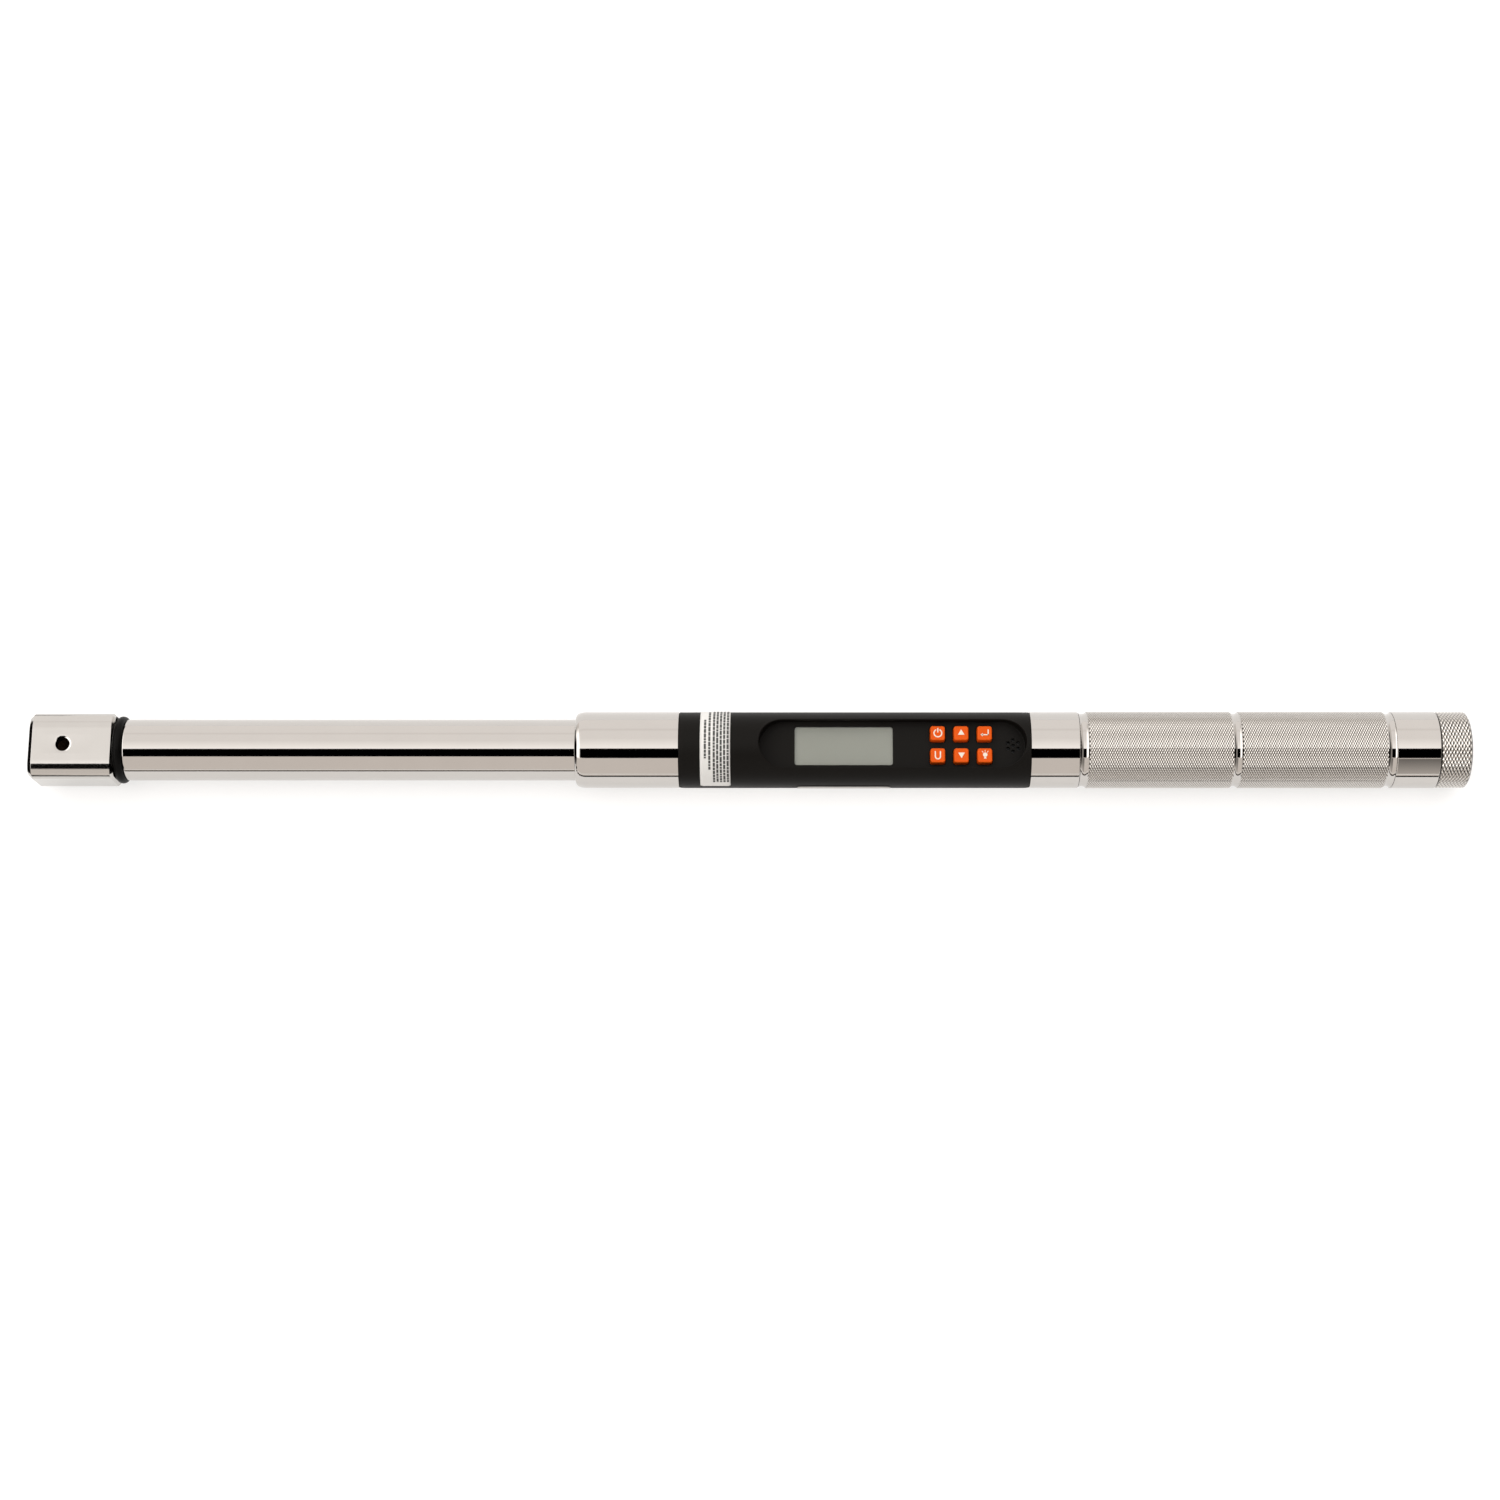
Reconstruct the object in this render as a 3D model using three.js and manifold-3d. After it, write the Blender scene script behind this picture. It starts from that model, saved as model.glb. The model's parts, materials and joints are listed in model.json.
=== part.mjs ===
// Electronic torque wrench with a rectangular socket for interchangeable insert tools.
// Millimetres. X runs along the tool, the head at -X and the end cap at +X; the display faces +Z.
// Every piece is drawn about the tool's own axis, and the whole tool is then lifted to lie on Z = 0.

import * as THREE from "three";
import { mergeVertices } from "three/addons/utils/BufferGeometryUtils.js";
import Module from "manifold-3d";

const wasm = await Module();
wasm.setup();

// ---------------------------------------------------------------- driving dimensions

const OVERALL_LENGTH = 650.2;
const HEAD_TIP = -OVERALL_LENGTH / 2;
const CAP_END = OVERALL_LENGTH / 2;

const SIDES = 36;                 // facets round a large turned piece
const SMALL_SIDES = 20;           // facets round a pin, a key stem or a battery
const JOINT_GAP = 0.1;            // clearance between fixed pieces that meet

const SOCKET_WIDTH = 18;          // insert tool shank, across the tool
const SOCKET_HEIGHT = 14;         // insert tool shank, along the bolt axis
const SOCKET_DEPTH = 30;
const CATCH_HOLE_RADIUS = 3.2;
const CATCH_HOLE_RIM_RADIUS = 4.35;
const CATCH_HOLE_INSET = 15.7;    // from the tip to the hole's centre

const HEAD_BAR_RADIUS = 17;
const HEAD_HALF_WIDTH = 15.1;
const HEAD_HALF_THICKNESS = 12.1;
const HEAD_LENGTH = 38.5;
const HEAD_BEVEL = 1.5;

const TUBE_RADIUS = 13.9;
const TUBE_BORE = 11.4;
const TUBE_START = -282.5;
const TUBE_END = -45;
const NECK_RADIUS = 11.7;
const SHANK_RADIUS = 11.3;
const SHANK_END = -240;
const SPIGOT_RADIUS = 6;
const SPIGOT_LENGTH = 21.5;

const BEAM_HALF_WIDTH = 6;
const BEAM_HALF_HEIGHT = 8;
const BEAM_PAD_HALF_HEIGHT = 9.3;
const BEAM_PAD_START = -72;
const BEAM_END = -48;
const PIN_RADIUS = 2.5;
const PIN_CLEARANCE = 0.05;
const PIN_SINK = 0.4;             // how far a pin's ends lie below the surface it was pressed into

const GAUGE_SIZE = [8, 0.3, 5];   // along, across and up the beam
const GAUGE_PLACES = [-200, -110];
const WIRE_RADIUS = 1;

const BARREL_RADIUS = 17.3;
const BARREL_BORE = 15.2;
const BARREL_START = -78.5;
const BARREL_NOSE_RADIUS = 15.4;
const BARREL_NOSE_LENGTH = 4.6;
const BARREL_END = 149;

const HOUSING_RADIUS = 17.15;
const HOUSING_START = -31.7;
const HOUSING_END = 126.9;
const HOUSING_BASE = -3;          // height of the housing's lower edges, just below the axis
const RECESS_START = 4.4;
const RECESS_END = 124.8;
const RECESS_HALF_WIDTH = 11;
const RECESS_FLOOR = 7.9;
const FLOOR_THICKNESS = 1.6;
const FILM_GAP = 0.1;             // below a label or a plate
const FILM_THICKNESS = 0.15;
const LABEL_SPAN = [-22, -8.4];
const LABEL_HALF_ANGLE = 83;
const PLATE_SPAN = [21.7, 64];
const PLATE_ANGLES = [80, 135];

const SCREW_RADIUS = 1.5;
const SCREW_COLUMNS = [-5, 101];
const SCREW_ROW = 13.6;
const SCREW_LOW = -8.2;
const SCREW_HIGH = 4.5;
const SCREW_KEY_RADIUS = 0.85;    // the hexagon that drives it
const POCKET_START = -22;
const POCKET_END = 124;
const POCKET_HALF_WIDTH = 11.5;

const WINDOW_START = 20.5;
const WINDOW_LENGTH = 44.5;
const WINDOW_WIDTH = 17.8;
const WINDOW_CORNER = 1;

const KEY_SIZE = 7;
const KEY_CORNER = 1.2;
const KEY_TOP = 11.3;
const KEY_GAP = 0.15;
const KEY_TRAVEL = 0.8;
const KEY_COLUMNS = [85.1, 95.7, 106.3];
const KEY_ROW = 5.15;
const KEY_NAMES = [
  ["key_power", "key_up", "key_enter"],
  ["key_units", "key_down", "key_light"],
];

const SOUND_HOLES_X = 119.3;
const SOUND_HOLES_RING = 2.65;
const SOUND_HOLE_RADIUS = 0.75;
const SOUND_HOLES = 6;            // round the one in the middle

const BOARD_START = -18;
const BOARD_END = 123.6;
const BOARD_LOW = 1;
const BOARD_THICKNESS = 1.6;
const BOARD_HALF_WIDTH = 10.5;
const CHIP_GAP = 0.05;            // between the board and what is soldered to it
const PROCESSOR_SIZE = [10, 10, 1.25];
const PROCESSOR_X = -9;
const MEMORY_SIZE = [8, 8, 1.05];
const MEMORY_X = 7;
const BUZZER_RADIUS = 4.1;
const BUZZER_HEIGHT = 2.9;
const LCD_LENGTH = 48.4;
const LCD_WIDTH = 20;
const LCD_LOW = 3.4;
const MAT_SPAN = [80, 111.5];
const MAT_WIDTH = 20.8;
const MAT_TOP = 3.6;

const GRIP_START = 149.1;
const GRIP_END = 291;
const GRIP_RADIUS = 17.4;
const GRIP_BORE = 13.4;
const GRIP_GROOVE_RADIUS = 16.95;
const GRIP_FRONT_GROOVE_END = 152.5;
const GRIP_MIDDLE_GROOVE = [218.2, 221.4];
const GRIP_REAR_RING_START = 287.5;
const GRIP_SPIGOT_RADIUS = 15.1;
const GRIP_SPIGOT_LENGTH = 12;

const COLLAR_START = 291.1;
const COLLAR_END = 310.8;
const COLLAR_BORE = 11.5;
const COLLAR_SPIGOT_RADIUS = 13.3;
const COLLAR_SPIGOT_LENGTH = 12;

const CAP_START = 311.3;
const CAP_RADIUS = 17.3;
const CAP_EDGE = 2;
const CAP_PLUG_START = 303.5;
const CAP_PLUG_RADIUS = 11.2;
const CAP_BORE = 8.6;
const CAP_BORE_END = 320;

const BATTERY_RADIUS = 7.15;
const BATTERY_LENGTH = 50.5;
const BATTERY_NUB_RADIUS = 2.75;
const BATTERY_NUB_LENGTH = 1.3;
const BATTERY_COUNT = 3;
const BATTERIES_START = 148.1;
const CONTACT_RADIUS = 7.2;
const CONTACT_THICKNESS = 0.7;

const CAP_RING_X = 307.7;
const CAP_RING_SECTION = 0.9;
const CAP_CONTACT_RADIUS = 8.3;
const CAP_CONTACT_THICKNESS = 1;
const SPRING_SPAN = [301, 317.8];
const SPRING_TURNS = 5;
const SPRING_RADIUS = 5.4;
const SPRING_WIRE = 0.45;

// The grip is the thickest piece, and one of its facets lies on Z = 0.
const AXIS_HEIGHT = GRIP_RADIUS * Math.cos(Math.PI / SIDES);

// ---------------------------------------------------------------- materials

const finish = (color, roughness, metalness) =>
  new THREE.MeshStandardMaterial({ color, roughness, metalness });

const satinChrome = finish(0xc9c5c0, 0.24, 1);
const headChrome = finish(0xcfcbc6, 0.3, 1);
const springSteel = finish(0x9a9a9a, 0.35, 1);
const blackRubber = finish(0x101010, 0.8, 0);
const blackPlastic = finish(0x232120, 0.6, 0);
const orangeRubber = finish(0xee6020, 0.6, 0);
const labelWhite = finish(0xe8e8e6, 0.5, 0);
const labelSilver = finish(0xb9b9b6, 0.4, 0.4);
const clearPlastic = finish(0xd5dcd6, 0.08, 0);
const displayGreen = finish(0x96988c, 0.35, 0);
const boardGreen = finish(0x1e5a35, 0.5, 0);
const chipBlack = finish(0x1a1a1c, 0.5, 0);
const brass = finish(0xc9a24b, 0.35, 1);
const batteryWrap = finish(0x2d4f86, 0.35, 0.2);
const wireRed = finish(0x9c2a22, 0.55, 0);
const gaugeFoil = finish(0xb9823c, 0.4, 0.6);

// ---------------------------------------------------------------- geometry tools

// Welds a geometry's shared vertices, drops its zero-area triangles and turns its faces outward.
function welded(geometry) {
  const bare = new THREE.BufferGeometry();
  bare.setAttribute("position", geometry.getAttribute("position"));
  bare.setIndex(geometry.getIndex());
  const merged = mergeVertices(bare, 1e-4);
  const position = merged.getAttribute("position");
  const index = merged.getIndex().array;
  const triangles = [];
  let sixVolumes = 0;
  const corners = [new THREE.Vector3(), new THREE.Vector3(), new THREE.Vector3()];
  for (let i = 0; i < index.length; i += 3) {
    const [a, b, c] = [index[i], index[i + 1], index[i + 2]];
    if (a === b || b === c || c === a) continue;
    triangles.push(a, b, c);
    corners.forEach((corner, k) => corner.fromBufferAttribute(position, [a, b, c][k]));
    sixVolumes += corners[0].dot(corners[1].cross(corners[2]));
  }
  if (sixVolumes < 0) triangles.reverse();
  merged.setIndex(triangles);
  return merged;
}

function toManifold(geometry) {
  const solid = welded(geometry);
  const vertProperties = new Float32Array(solid.getAttribute("position").array);
  const triVerts = new Uint32Array(solid.getIndex().array);
  return new wasm.Manifold(new wasm.Mesh({ numProp: 3, vertProperties, triVerts }));
}

function fromManifold(manifold) {
  const mesh = manifold.getMesh();
  const geometry = new THREE.BufferGeometry();
  geometry.setAttribute("position", new THREE.BufferAttribute(mesh.vertProperties, 3));
  geometry.setIndex(new THREE.BufferAttribute(mesh.triVerts, 1));
  return geometry;
}

const combine = (operation) => (first, ...others) => {
  let result = toManifold(first);
  for (const other of others) result = result[operation](toManifold(other));
  return fromManifold(result);
};
const cut = combine("subtract");
const join = combine("add");
const common = combine("intersect");

// A piece turned about the tool's axis, from points [x, radius].
// A flat facet, not an edge, faces straight down.
function turned(profile, sides = SIDES) {
  const points = profile.map(([x, radius]) => new THREE.Vector2(radius, x));
  const geometry = new THREE.LatheGeometry(points, sides);
  geometry.rotateZ(-Math.PI / 2);
  geometry.rotateX(Math.PI / sides);
  return geometry;
}

// A turned piece with a plain bore right through it: the outside's points, then back along the bore.
function turnedTube(outside, bore, sides = SIDES) {
  const start = outside[0][0];
  const end = outside[outside.length - 1][0];
  const profile = [...outside, [end, bore], [start, bore], outside[0]];
  return turned(profile, sides);
}

function ring(x, centreRadius, sectionRadius, sides = SIDES) {
  const geometry = new THREE.TorusGeometry(centreRadius, sectionRadius, 8, sides);
  geometry.rotateY(Math.PI / 2);
  geometry.rotateX(Math.PI / sides);
  geometry.translate(x, 0, 0);
  return geometry;
}

function block(low, high) {
  const size = high.map((value, k) => value - low[k]);
  const geometry = new THREE.BoxGeometry(...size);
  geometry.translate(...high.map((value, k) => (value + low[k]) / 2));
  return geometry;
}

// A block that stands on a height, its middle over a place in X and Y.
function standing([length, width, height], [x, y], low) {
  return block([x - length / 2, y - width / 2, low], [x + length / 2, y + width / 2, low + height]);
}

// A round bar along X or Z. The centre gives its middle.
function bar(direction, radius, length, centre, sides = SMALL_SIDES) {
  const geometry = new THREE.CylinderGeometry(radius, radius, length, sides);
  if (direction === "x") geometry.rotateZ(-Math.PI / 2);
  else geometry.rotateX(Math.PI / 2);
  geometry.translate(...centre);
  return geometry;
}

function roundedRectangle(width, height, corner) {
  const [w, h] = [width / 2 - corner, height / 2 - corner];
  const shape = new THREE.Shape();
  shape.absarc(w, h, corner, 0, Math.PI / 2);
  shape.absarc(-w, h, corner, Math.PI / 2, Math.PI);
  shape.absarc(-w, -h, corner, Math.PI, 1.5 * Math.PI);
  shape.absarc(w, -h, corner, 1.5 * Math.PI, 2 * Math.PI);
  shape.closePath();
  return shape;
}

// An outline in X and Y, raised from one height to another.
function raised(shape, low, high, centre = [0, 0], curveSegments = 4) {
  const geometry = new THREE.ExtrudeGeometry(shape, {
    depth: high - low, bevelEnabled: false, curveSegments,
  });
  geometry.translate(centre[0], centre[1], low);
  return geometry;
}

// An outline in Y and Z, drawn out along X.
function drawnAlong(shape, start, end, options = {}) {
  const geometry = new THREE.ExtrudeGeometry(shape, {
    depth: end - start, bevelEnabled: false, curveSegments: SIDES / 2, ...options,
  });
  geometry.rotateZ(Math.PI / 2);
  geometry.rotateY(Math.PI / 2);
  geometry.translate(start, 0, 0);
  return geometry;
}

// Part of a ring's section, between two angles measured from +Z towards -Y.
function arcBand(inner, outer, fromDegrees, toDegrees) {
  const angle = (degrees) => Math.PI / 2 + THREE.MathUtils.degToRad(degrees);
  const shape = new THREE.Shape();
  shape.absarc(0, 0, outer, angle(fromDegrees), angle(toDegrees));
  shape.absarc(0, 0, inner, angle(toDegrees), angle(fromDegrees), true);
  shape.closePath();
  return shape;
}

// A round bar along any curve.
function drawnRound(route, radius, steps, curveSegments = 4) {
  const section = new THREE.Shape();
  section.absarc(0, 0, radius, 0, 2 * Math.PI);
  return new THREE.ExtrudeGeometry(section, { extrudePath: route, steps, curveSegments });
}

function wire(points) {
  const route = new THREE.CatmullRomCurve3(points.map((point) => new THREE.Vector3(...point)));
  return drawnRound(route, WIRE_RADIUS, 20);
}

// ---------------------------------------------------------------- assembly

const wrench = new THREE.Group();
wrench.position.z = AXIS_HEIGHT;

function place(name, geometry, material, position = [0, 0, 0]) {
  const mesh = new THREE.Mesh(welded(geometry), material);
  mesh.name = name;
  mesh.position.set(...position);
  wrench.add(mesh);
}

// ---------------------------------------------------------------- head and measuring beam

const headEnd = HEAD_TIP + HEAD_LENGTH;
const headPinX = (TUBE_START + SHANK_END - SPIGOT_LENGTH) / 2;
const beamPinX = (BEAM_PAD_START + BEAM_END) / 2;
const pinHoleRadius = PIN_RADIUS + PIN_CLEARANCE;

function headHolder() {
  const barStock = turned([
    [HEAD_TIP, 0],
    [HEAD_TIP, HEAD_BAR_RADIUS],
    [headEnd, HEAD_BAR_RADIUS],
    [headEnd, 0],
  ]);
  const flatsOutline = roundedRectangle(2 * HEAD_HALF_WIDTH, 2 * HEAD_HALF_THICKNESS, 2);
  const flats = drawnAlong(flatsOutline, HEAD_TIP + HEAD_BEVEL, headEnd - HEAD_BEVEL, {
    bevelEnabled: true, bevelThickness: HEAD_BEVEL, bevelSize: HEAD_BEVEL,
    bevelOffset: -HEAD_BEVEL, bevelSegments: 1, curveSegments: 3,
  });
  const neckStart = headEnd - 1;
  const neckEnd = TUBE_START - JOINT_GAP;
  const neckAndShank = turned([
    [neckStart, 0],
    [neckStart, NECK_RADIUS],
    [neckEnd, NECK_RADIUS],
    [neckEnd, SHANK_RADIUS],
    [SHANK_END, SHANK_RADIUS],
    [SHANK_END, 0],
  ]);
  const socket = block(
    [HEAD_TIP - 1, -SOCKET_WIDTH / 2, -SOCKET_HEIGHT / 2],
    [HEAD_TIP + SOCKET_DEPTH, SOCKET_WIDTH / 2, SOCKET_HEIGHT / 2],
  );
  const catchHoleX = HEAD_TIP + CATCH_HOLE_INSET;
  const catchHole = bar("z", CATCH_HOLE_RADIUS, HEAD_BAR_RADIUS, [catchHoleX, 0, HEAD_BAR_RADIUS / 2]);
  const sinkDepth = CATCH_HOLE_RIM_RADIUS - CATCH_HOLE_RADIUS;
  const sink = new THREE.CylinderGeometry(
    CATCH_HOLE_RIM_RADIUS + sinkDepth, CATCH_HOLE_RADIUS, 2 * sinkDepth, SMALL_SIDES);
  sink.rotateX(Math.PI / 2);
  sink.translate(catchHoleX, 0, HEAD_HALF_THICKNESS);
  const spigotBore = bar("x", SPIGOT_RADIUS + JOINT_GAP, 2 * SPIGOT_LENGTH, [SHANK_END, 0, 0]);
  const pinHole = bar("z", pinHoleRadius, 4 * TUBE_RADIUS, [headPinX, 0, 0]);
  const body = join(common(barStock, flats), neckAndShank);
  return cut(body, socket, catchHole, sink, spigotBore, pinHole);
}

function torqueBeam() {
  const spigot = bar("x", SPIGOT_RADIUS, SPIGOT_LENGTH, [SHANK_END - SPIGOT_LENGTH / 2 + 1, 0, 0]);
  const bendingBar = block(
    [SHANK_END + JOINT_GAP, -BEAM_HALF_WIDTH, -BEAM_HALF_HEIGHT],
    [BEAM_PAD_START + 1, BEAM_HALF_WIDTH, BEAM_HALF_HEIGHT],
  );
  const pad = block(
    [BEAM_PAD_START, -BEAM_HALF_WIDTH, -BEAM_PAD_HALF_HEIGHT],
    [BEAM_END, BEAM_HALF_WIDTH, BEAM_PAD_HALF_HEIGHT],
  );
  const pinHole = bar("z", pinHoleRadius, 4 * TUBE_RADIUS, [beamPinX, 0, 0]);
  return cut(join(spigot, bendingBar, pad), pinHole);
}

// The head's pin goes in from the underside only. The beam's pin goes right through, under the barrel.
function frontTube() {
  const tube = turnedTube([[TUBE_START, TUBE_RADIUS], [TUBE_END, TUBE_RADIUS]], TUBE_BORE);
  const headPinHole = bar("z", pinHoleRadius, 2 * TUBE_RADIUS, [headPinX, 0, -TUBE_RADIUS]);
  const beamPinHole = bar("z", pinHoleRadius, 4 * TUBE_RADIUS, [beamPinX, 0, 0]);
  return cut(tube, headPinHole, beamPinHole);
}

function pin(x, low, high) {
  return bar("z", PIN_RADIUS, high - low, [x, 0, (low + high) / 2]);
}

const pinLow = PIN_SINK - TUBE_RADIUS;
const neckRingSection = 1.7;

place("head_holder", headHolder(), headChrome);
place("neck_oring", ring((headEnd + TUBE_START) / 2, NECK_RADIUS + neckRingSection + 0.05, neckRingSection),
  blackRubber);
place("front_tube", frontTube(), satinChrome);
place("head_pin", pin(headPinX, pinLow, SHANK_RADIUS - PIN_SINK), springSteel);
place("torque_beam", torqueBeam(), springSteel);
place("beam_pin", pin(beamPinX, pinLow, -pinLow), springSteel);

// Foil gauges, in pairs on the beam's two bending faces.
GAUGE_PLACES.flatMap((x) => [[x, 1], [x, -1]]).forEach(([x, side], i) => {
  const y = side * (BEAM_HALF_WIDTH + PIN_CLEARANCE + GAUGE_SIZE[1] / 2);
  place(`strain_gauge_${i + 1}`, standing(GAUGE_SIZE, [x, y], -GAUGE_SIZE[2] / 2), gaugeFoil);
});
place("gauge_wires", wire([
  [-190, 7.8, 0], [-150, 8.2, 3], [-90, 8.4, 4.6], [-52, 8.3, 4.5], [-41, 7.6, 0], [-32, 7.5, -5.2],
  [-20, 7, -5.4], [-10, 6, -0.6],
]), wireRed);

// ---------------------------------------------------------------- barrel

const screwPlaces = SCREW_COLUMNS.flatMap((x) => [[x, SCREW_ROW], [x, -SCREW_ROW]]);

function screwHole([x, y]) {
  return bar("z", SCREW_RADIUS + JOINT_GAP, BARREL_RADIUS + SCREW_HIGH + JOINT_GAP,
    [x, y, (SCREW_HIGH + JOINT_GAP - BARREL_RADIUS) / 2]);
}

function barrel() {
  const noseSteps = 4;
  const nose = Array.from({ length: noseSteps + 1 }, (_, i) => {
    const turn = (i / noseSteps) * (Math.PI / 2);
    return [
      BARREL_START + BARREL_NOSE_LENGTH * (1 - Math.cos(turn)),
      BARREL_NOSE_RADIUS + (BARREL_RADIUS - BARREL_NOSE_RADIUS) * Math.sin(turn),
    ];
  });
  const boreStep = TUBE_END + 3;
  const tubeBore = TUBE_RADIUS + PIN_CLEARANCE;
  const shell = turned([
    ...nose,
    [BARREL_END, BARREL_RADIUS],
    [BARREL_END, BARREL_BORE],
    [boreStep, BARREL_BORE],
    [boreStep, tubeBore],
    [BARREL_START, tubeBore],
    nose[0],
  ]);
  const housingSeat = block(
    [HOUSING_START - JOINT_GAP, -2 * BARREL_RADIUS, HOUSING_BASE - JOINT_GAP],
    [HOUSING_END + JOINT_GAP, 2 * BARREL_RADIUS, 2 * BARREL_RADIUS],
  );
  return cut(shell, housingSeat, ...screwPlaces.map(screwHole));
}

// A headless screw, driven by a hexagon in its lower end.
function housingScrew() {
  const stem = bar("z", SCREW_RADIUS, SCREW_HIGH - SCREW_LOW, [0, 0, (SCREW_HIGH + SCREW_LOW) / 2]);
  const hexagon = bar("z", SCREW_KEY_RADIUS, 2 * SCREW_RADIUS, [0, 0, SCREW_LOW], 6);
  return cut(stem, hexagon);
}

place("barrel", barrel(), satinChrome);
screwPlaces.forEach(([x, y], i) => {
  place(`housing_screw_${i + 1}`, housingScrew(), springSteel, [x, y, 0]);
});

// A silver plate on the tool's side, from the housing's flank round to the barrel's underside.
const plateBand = arcBand(BARREL_RADIUS + FILM_GAP, BARREL_RADIUS + FILM_GAP + FILM_THICKNESS, ...PLATE_ANGLES);
place("rating_plate", drawnAlong(plateBand, ...PLATE_SPAN), labelSilver);

// ---------------------------------------------------------------- display housing

const recessMiddle = (RECESS_START + RECESS_END) / 2;
const windowMiddle = WINDOW_START + WINDOW_LENGTH / 2;
const floorUnderside = RECESS_FLOOR - FLOOR_THICKNESS;

const soundHolePlaces = [[SOUND_HOLES_X, 0]];
for (let i = 0; i < SOUND_HOLES; i += 1) {
  const turn = Math.PI / 2 + (i * 2 * Math.PI) / SOUND_HOLES;
  soundHolePlaces.push([
    SOUND_HOLES_X + SOUND_HOLES_RING * Math.cos(turn),
    SOUND_HOLES_RING * Math.sin(turn),
  ]);
}

const keyPlaces = KEY_NAMES.flatMap((row, rowNumber) =>
  row.map((name, column) => ({
    name,
    x: KEY_COLUMNS[column],
    y: rowNumber === 0 ? KEY_ROW : -KEY_ROW,
  })));

function displayHousing() {
  const shell = bar("x", HOUSING_RADIUS, HOUSING_END - HOUSING_START,
    [(HOUSING_START + HOUSING_END) / 2, 0, 0], SIDES);
  const above = block(
    [HOUSING_START - 1, -2 * HOUSING_RADIUS, HOUSING_BASE],
    [HOUSING_END + 1, 2 * HOUSING_RADIUS, 2 * HOUSING_RADIUS],
  );
  const recessOutline = roundedRectangle(
    RECESS_END - RECESS_START, 2 * RECESS_HALF_WIDTH, RECESS_HALF_WIDTH - 0.01);
  const recess = raised(recessOutline, RECESS_FLOOR, 2 * HOUSING_RADIUS, [recessMiddle, 0], 10);
  const pocket = block(
    [POCKET_START, -POCKET_HALF_WIDTH, HOUSING_BASE - 1],
    [POCKET_END, POCKET_HALF_WIDTH, floorUnderside],
  );
  const [holeLow, holeHigh] = [floorUnderside - 1, RECESS_FLOOR + 1];
  const windowOutline = roundedRectangle(WINDOW_LENGTH, WINDOW_WIDTH, WINDOW_CORNER);
  const windowHole = raised(windowOutline, holeLow, holeHigh, [windowMiddle, 0]);
  const keyOutline = roundedRectangle(KEY_SIZE + 2 * KEY_GAP, KEY_SIZE + 2 * KEY_GAP, KEY_CORNER);
  const keyHoles = keyPlaces.map(({ x, y }) => raised(keyOutline, holeLow, holeHigh, [x, y]));
  const soundHoles = soundHolePlaces.map(([x, y]) =>
    bar("z", SOUND_HOLE_RADIUS, holeHigh - holeLow, [x, y, (holeHigh + holeLow) / 2], 8));
  return cut(common(shell, above), recess, pocket, windowHole, ...keyHoles, ...soundHoles,
    ...screwPlaces.map(screwHole));
}

place("display_housing", displayHousing(), blackPlastic);
const labelBand = arcBand(HOUSING_RADIUS + FILM_GAP, HOUSING_RADIUS + FILM_GAP + FILM_THICKNESS,
  -LABEL_HALF_ANGLE, LABEL_HALF_ANGLE);
place("front_label", drawnAlong(labelBand, ...LABEL_SPAN), labelWhite);

// ---------------------------------------------------------------- display, keys and board

const lensOutline = roundedRectangle(WINDOW_LENGTH - 0.2, WINDOW_WIDTH - 0.2, WINDOW_CORNER);
place("display_lens", raised(lensOutline, floorUnderside + 0.1, RECESS_FLOOR - 0.2, [windowMiddle, 0]),
  clearPlastic);
place("lcd_panel", standing([LCD_LENGTH, LCD_WIDTH, floorUnderside - JOINT_GAP - LCD_LOW],
  [windowMiddle, 0], LCD_LOW), displayGreen);

const keyFlangeLow = 5.3;
const keyStemLow = MAT_TOP + KEY_TRAVEL + JOINT_GAP;
const boardTop = BOARD_LOW + BOARD_THICKNESS;

function key() {
  const cap = raised(roundedRectangle(KEY_SIZE, KEY_SIZE, KEY_CORNER), keyFlangeLow, KEY_TOP);
  const flangeTop = floorUnderside - JOINT_GAP;
  const flange = raised(roundedRectangle(KEY_SIZE + 1.6, KEY_SIZE + 1.6, KEY_CORNER), keyFlangeLow, flangeTop);
  const stem = bar("z", 1.5, 2, [0, 0, keyStemLow + 1], 16);
  return join(cap, flange, stem);
}

for (const { name, x, y } of keyPlaces) {
  place(name, key(), orangeRubber, [x, y, 0]);
}
place("keypad_mat", block(
  [MAT_SPAN[0], -MAT_WIDTH / 2, boardTop + JOINT_GAP],
  [MAT_SPAN[1], MAT_WIDTH / 2, MAT_TOP],
), blackRubber);
place("main_board", block(
  [BOARD_START, -BOARD_HALF_WIDTH, BOARD_LOW],
  [BOARD_END, BOARD_HALF_WIDTH, boardTop],
), boardGreen);
place("processor", standing(PROCESSOR_SIZE, [PROCESSOR_X, 0], boardTop + CHIP_GAP), chipBlack);
place("memory_chip", standing(MEMORY_SIZE, [MEMORY_X, 0], boardTop + CHIP_GAP), chipBlack);
place("buzzer", bar("z", BUZZER_RADIUS, BUZZER_HEIGHT,
  [SOUND_HOLES_X, 0, boardTop + CHIP_GAP + BUZZER_HEIGHT / 2]), chipBlack);

// ---------------------------------------------------------------- handle and batteries

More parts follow.
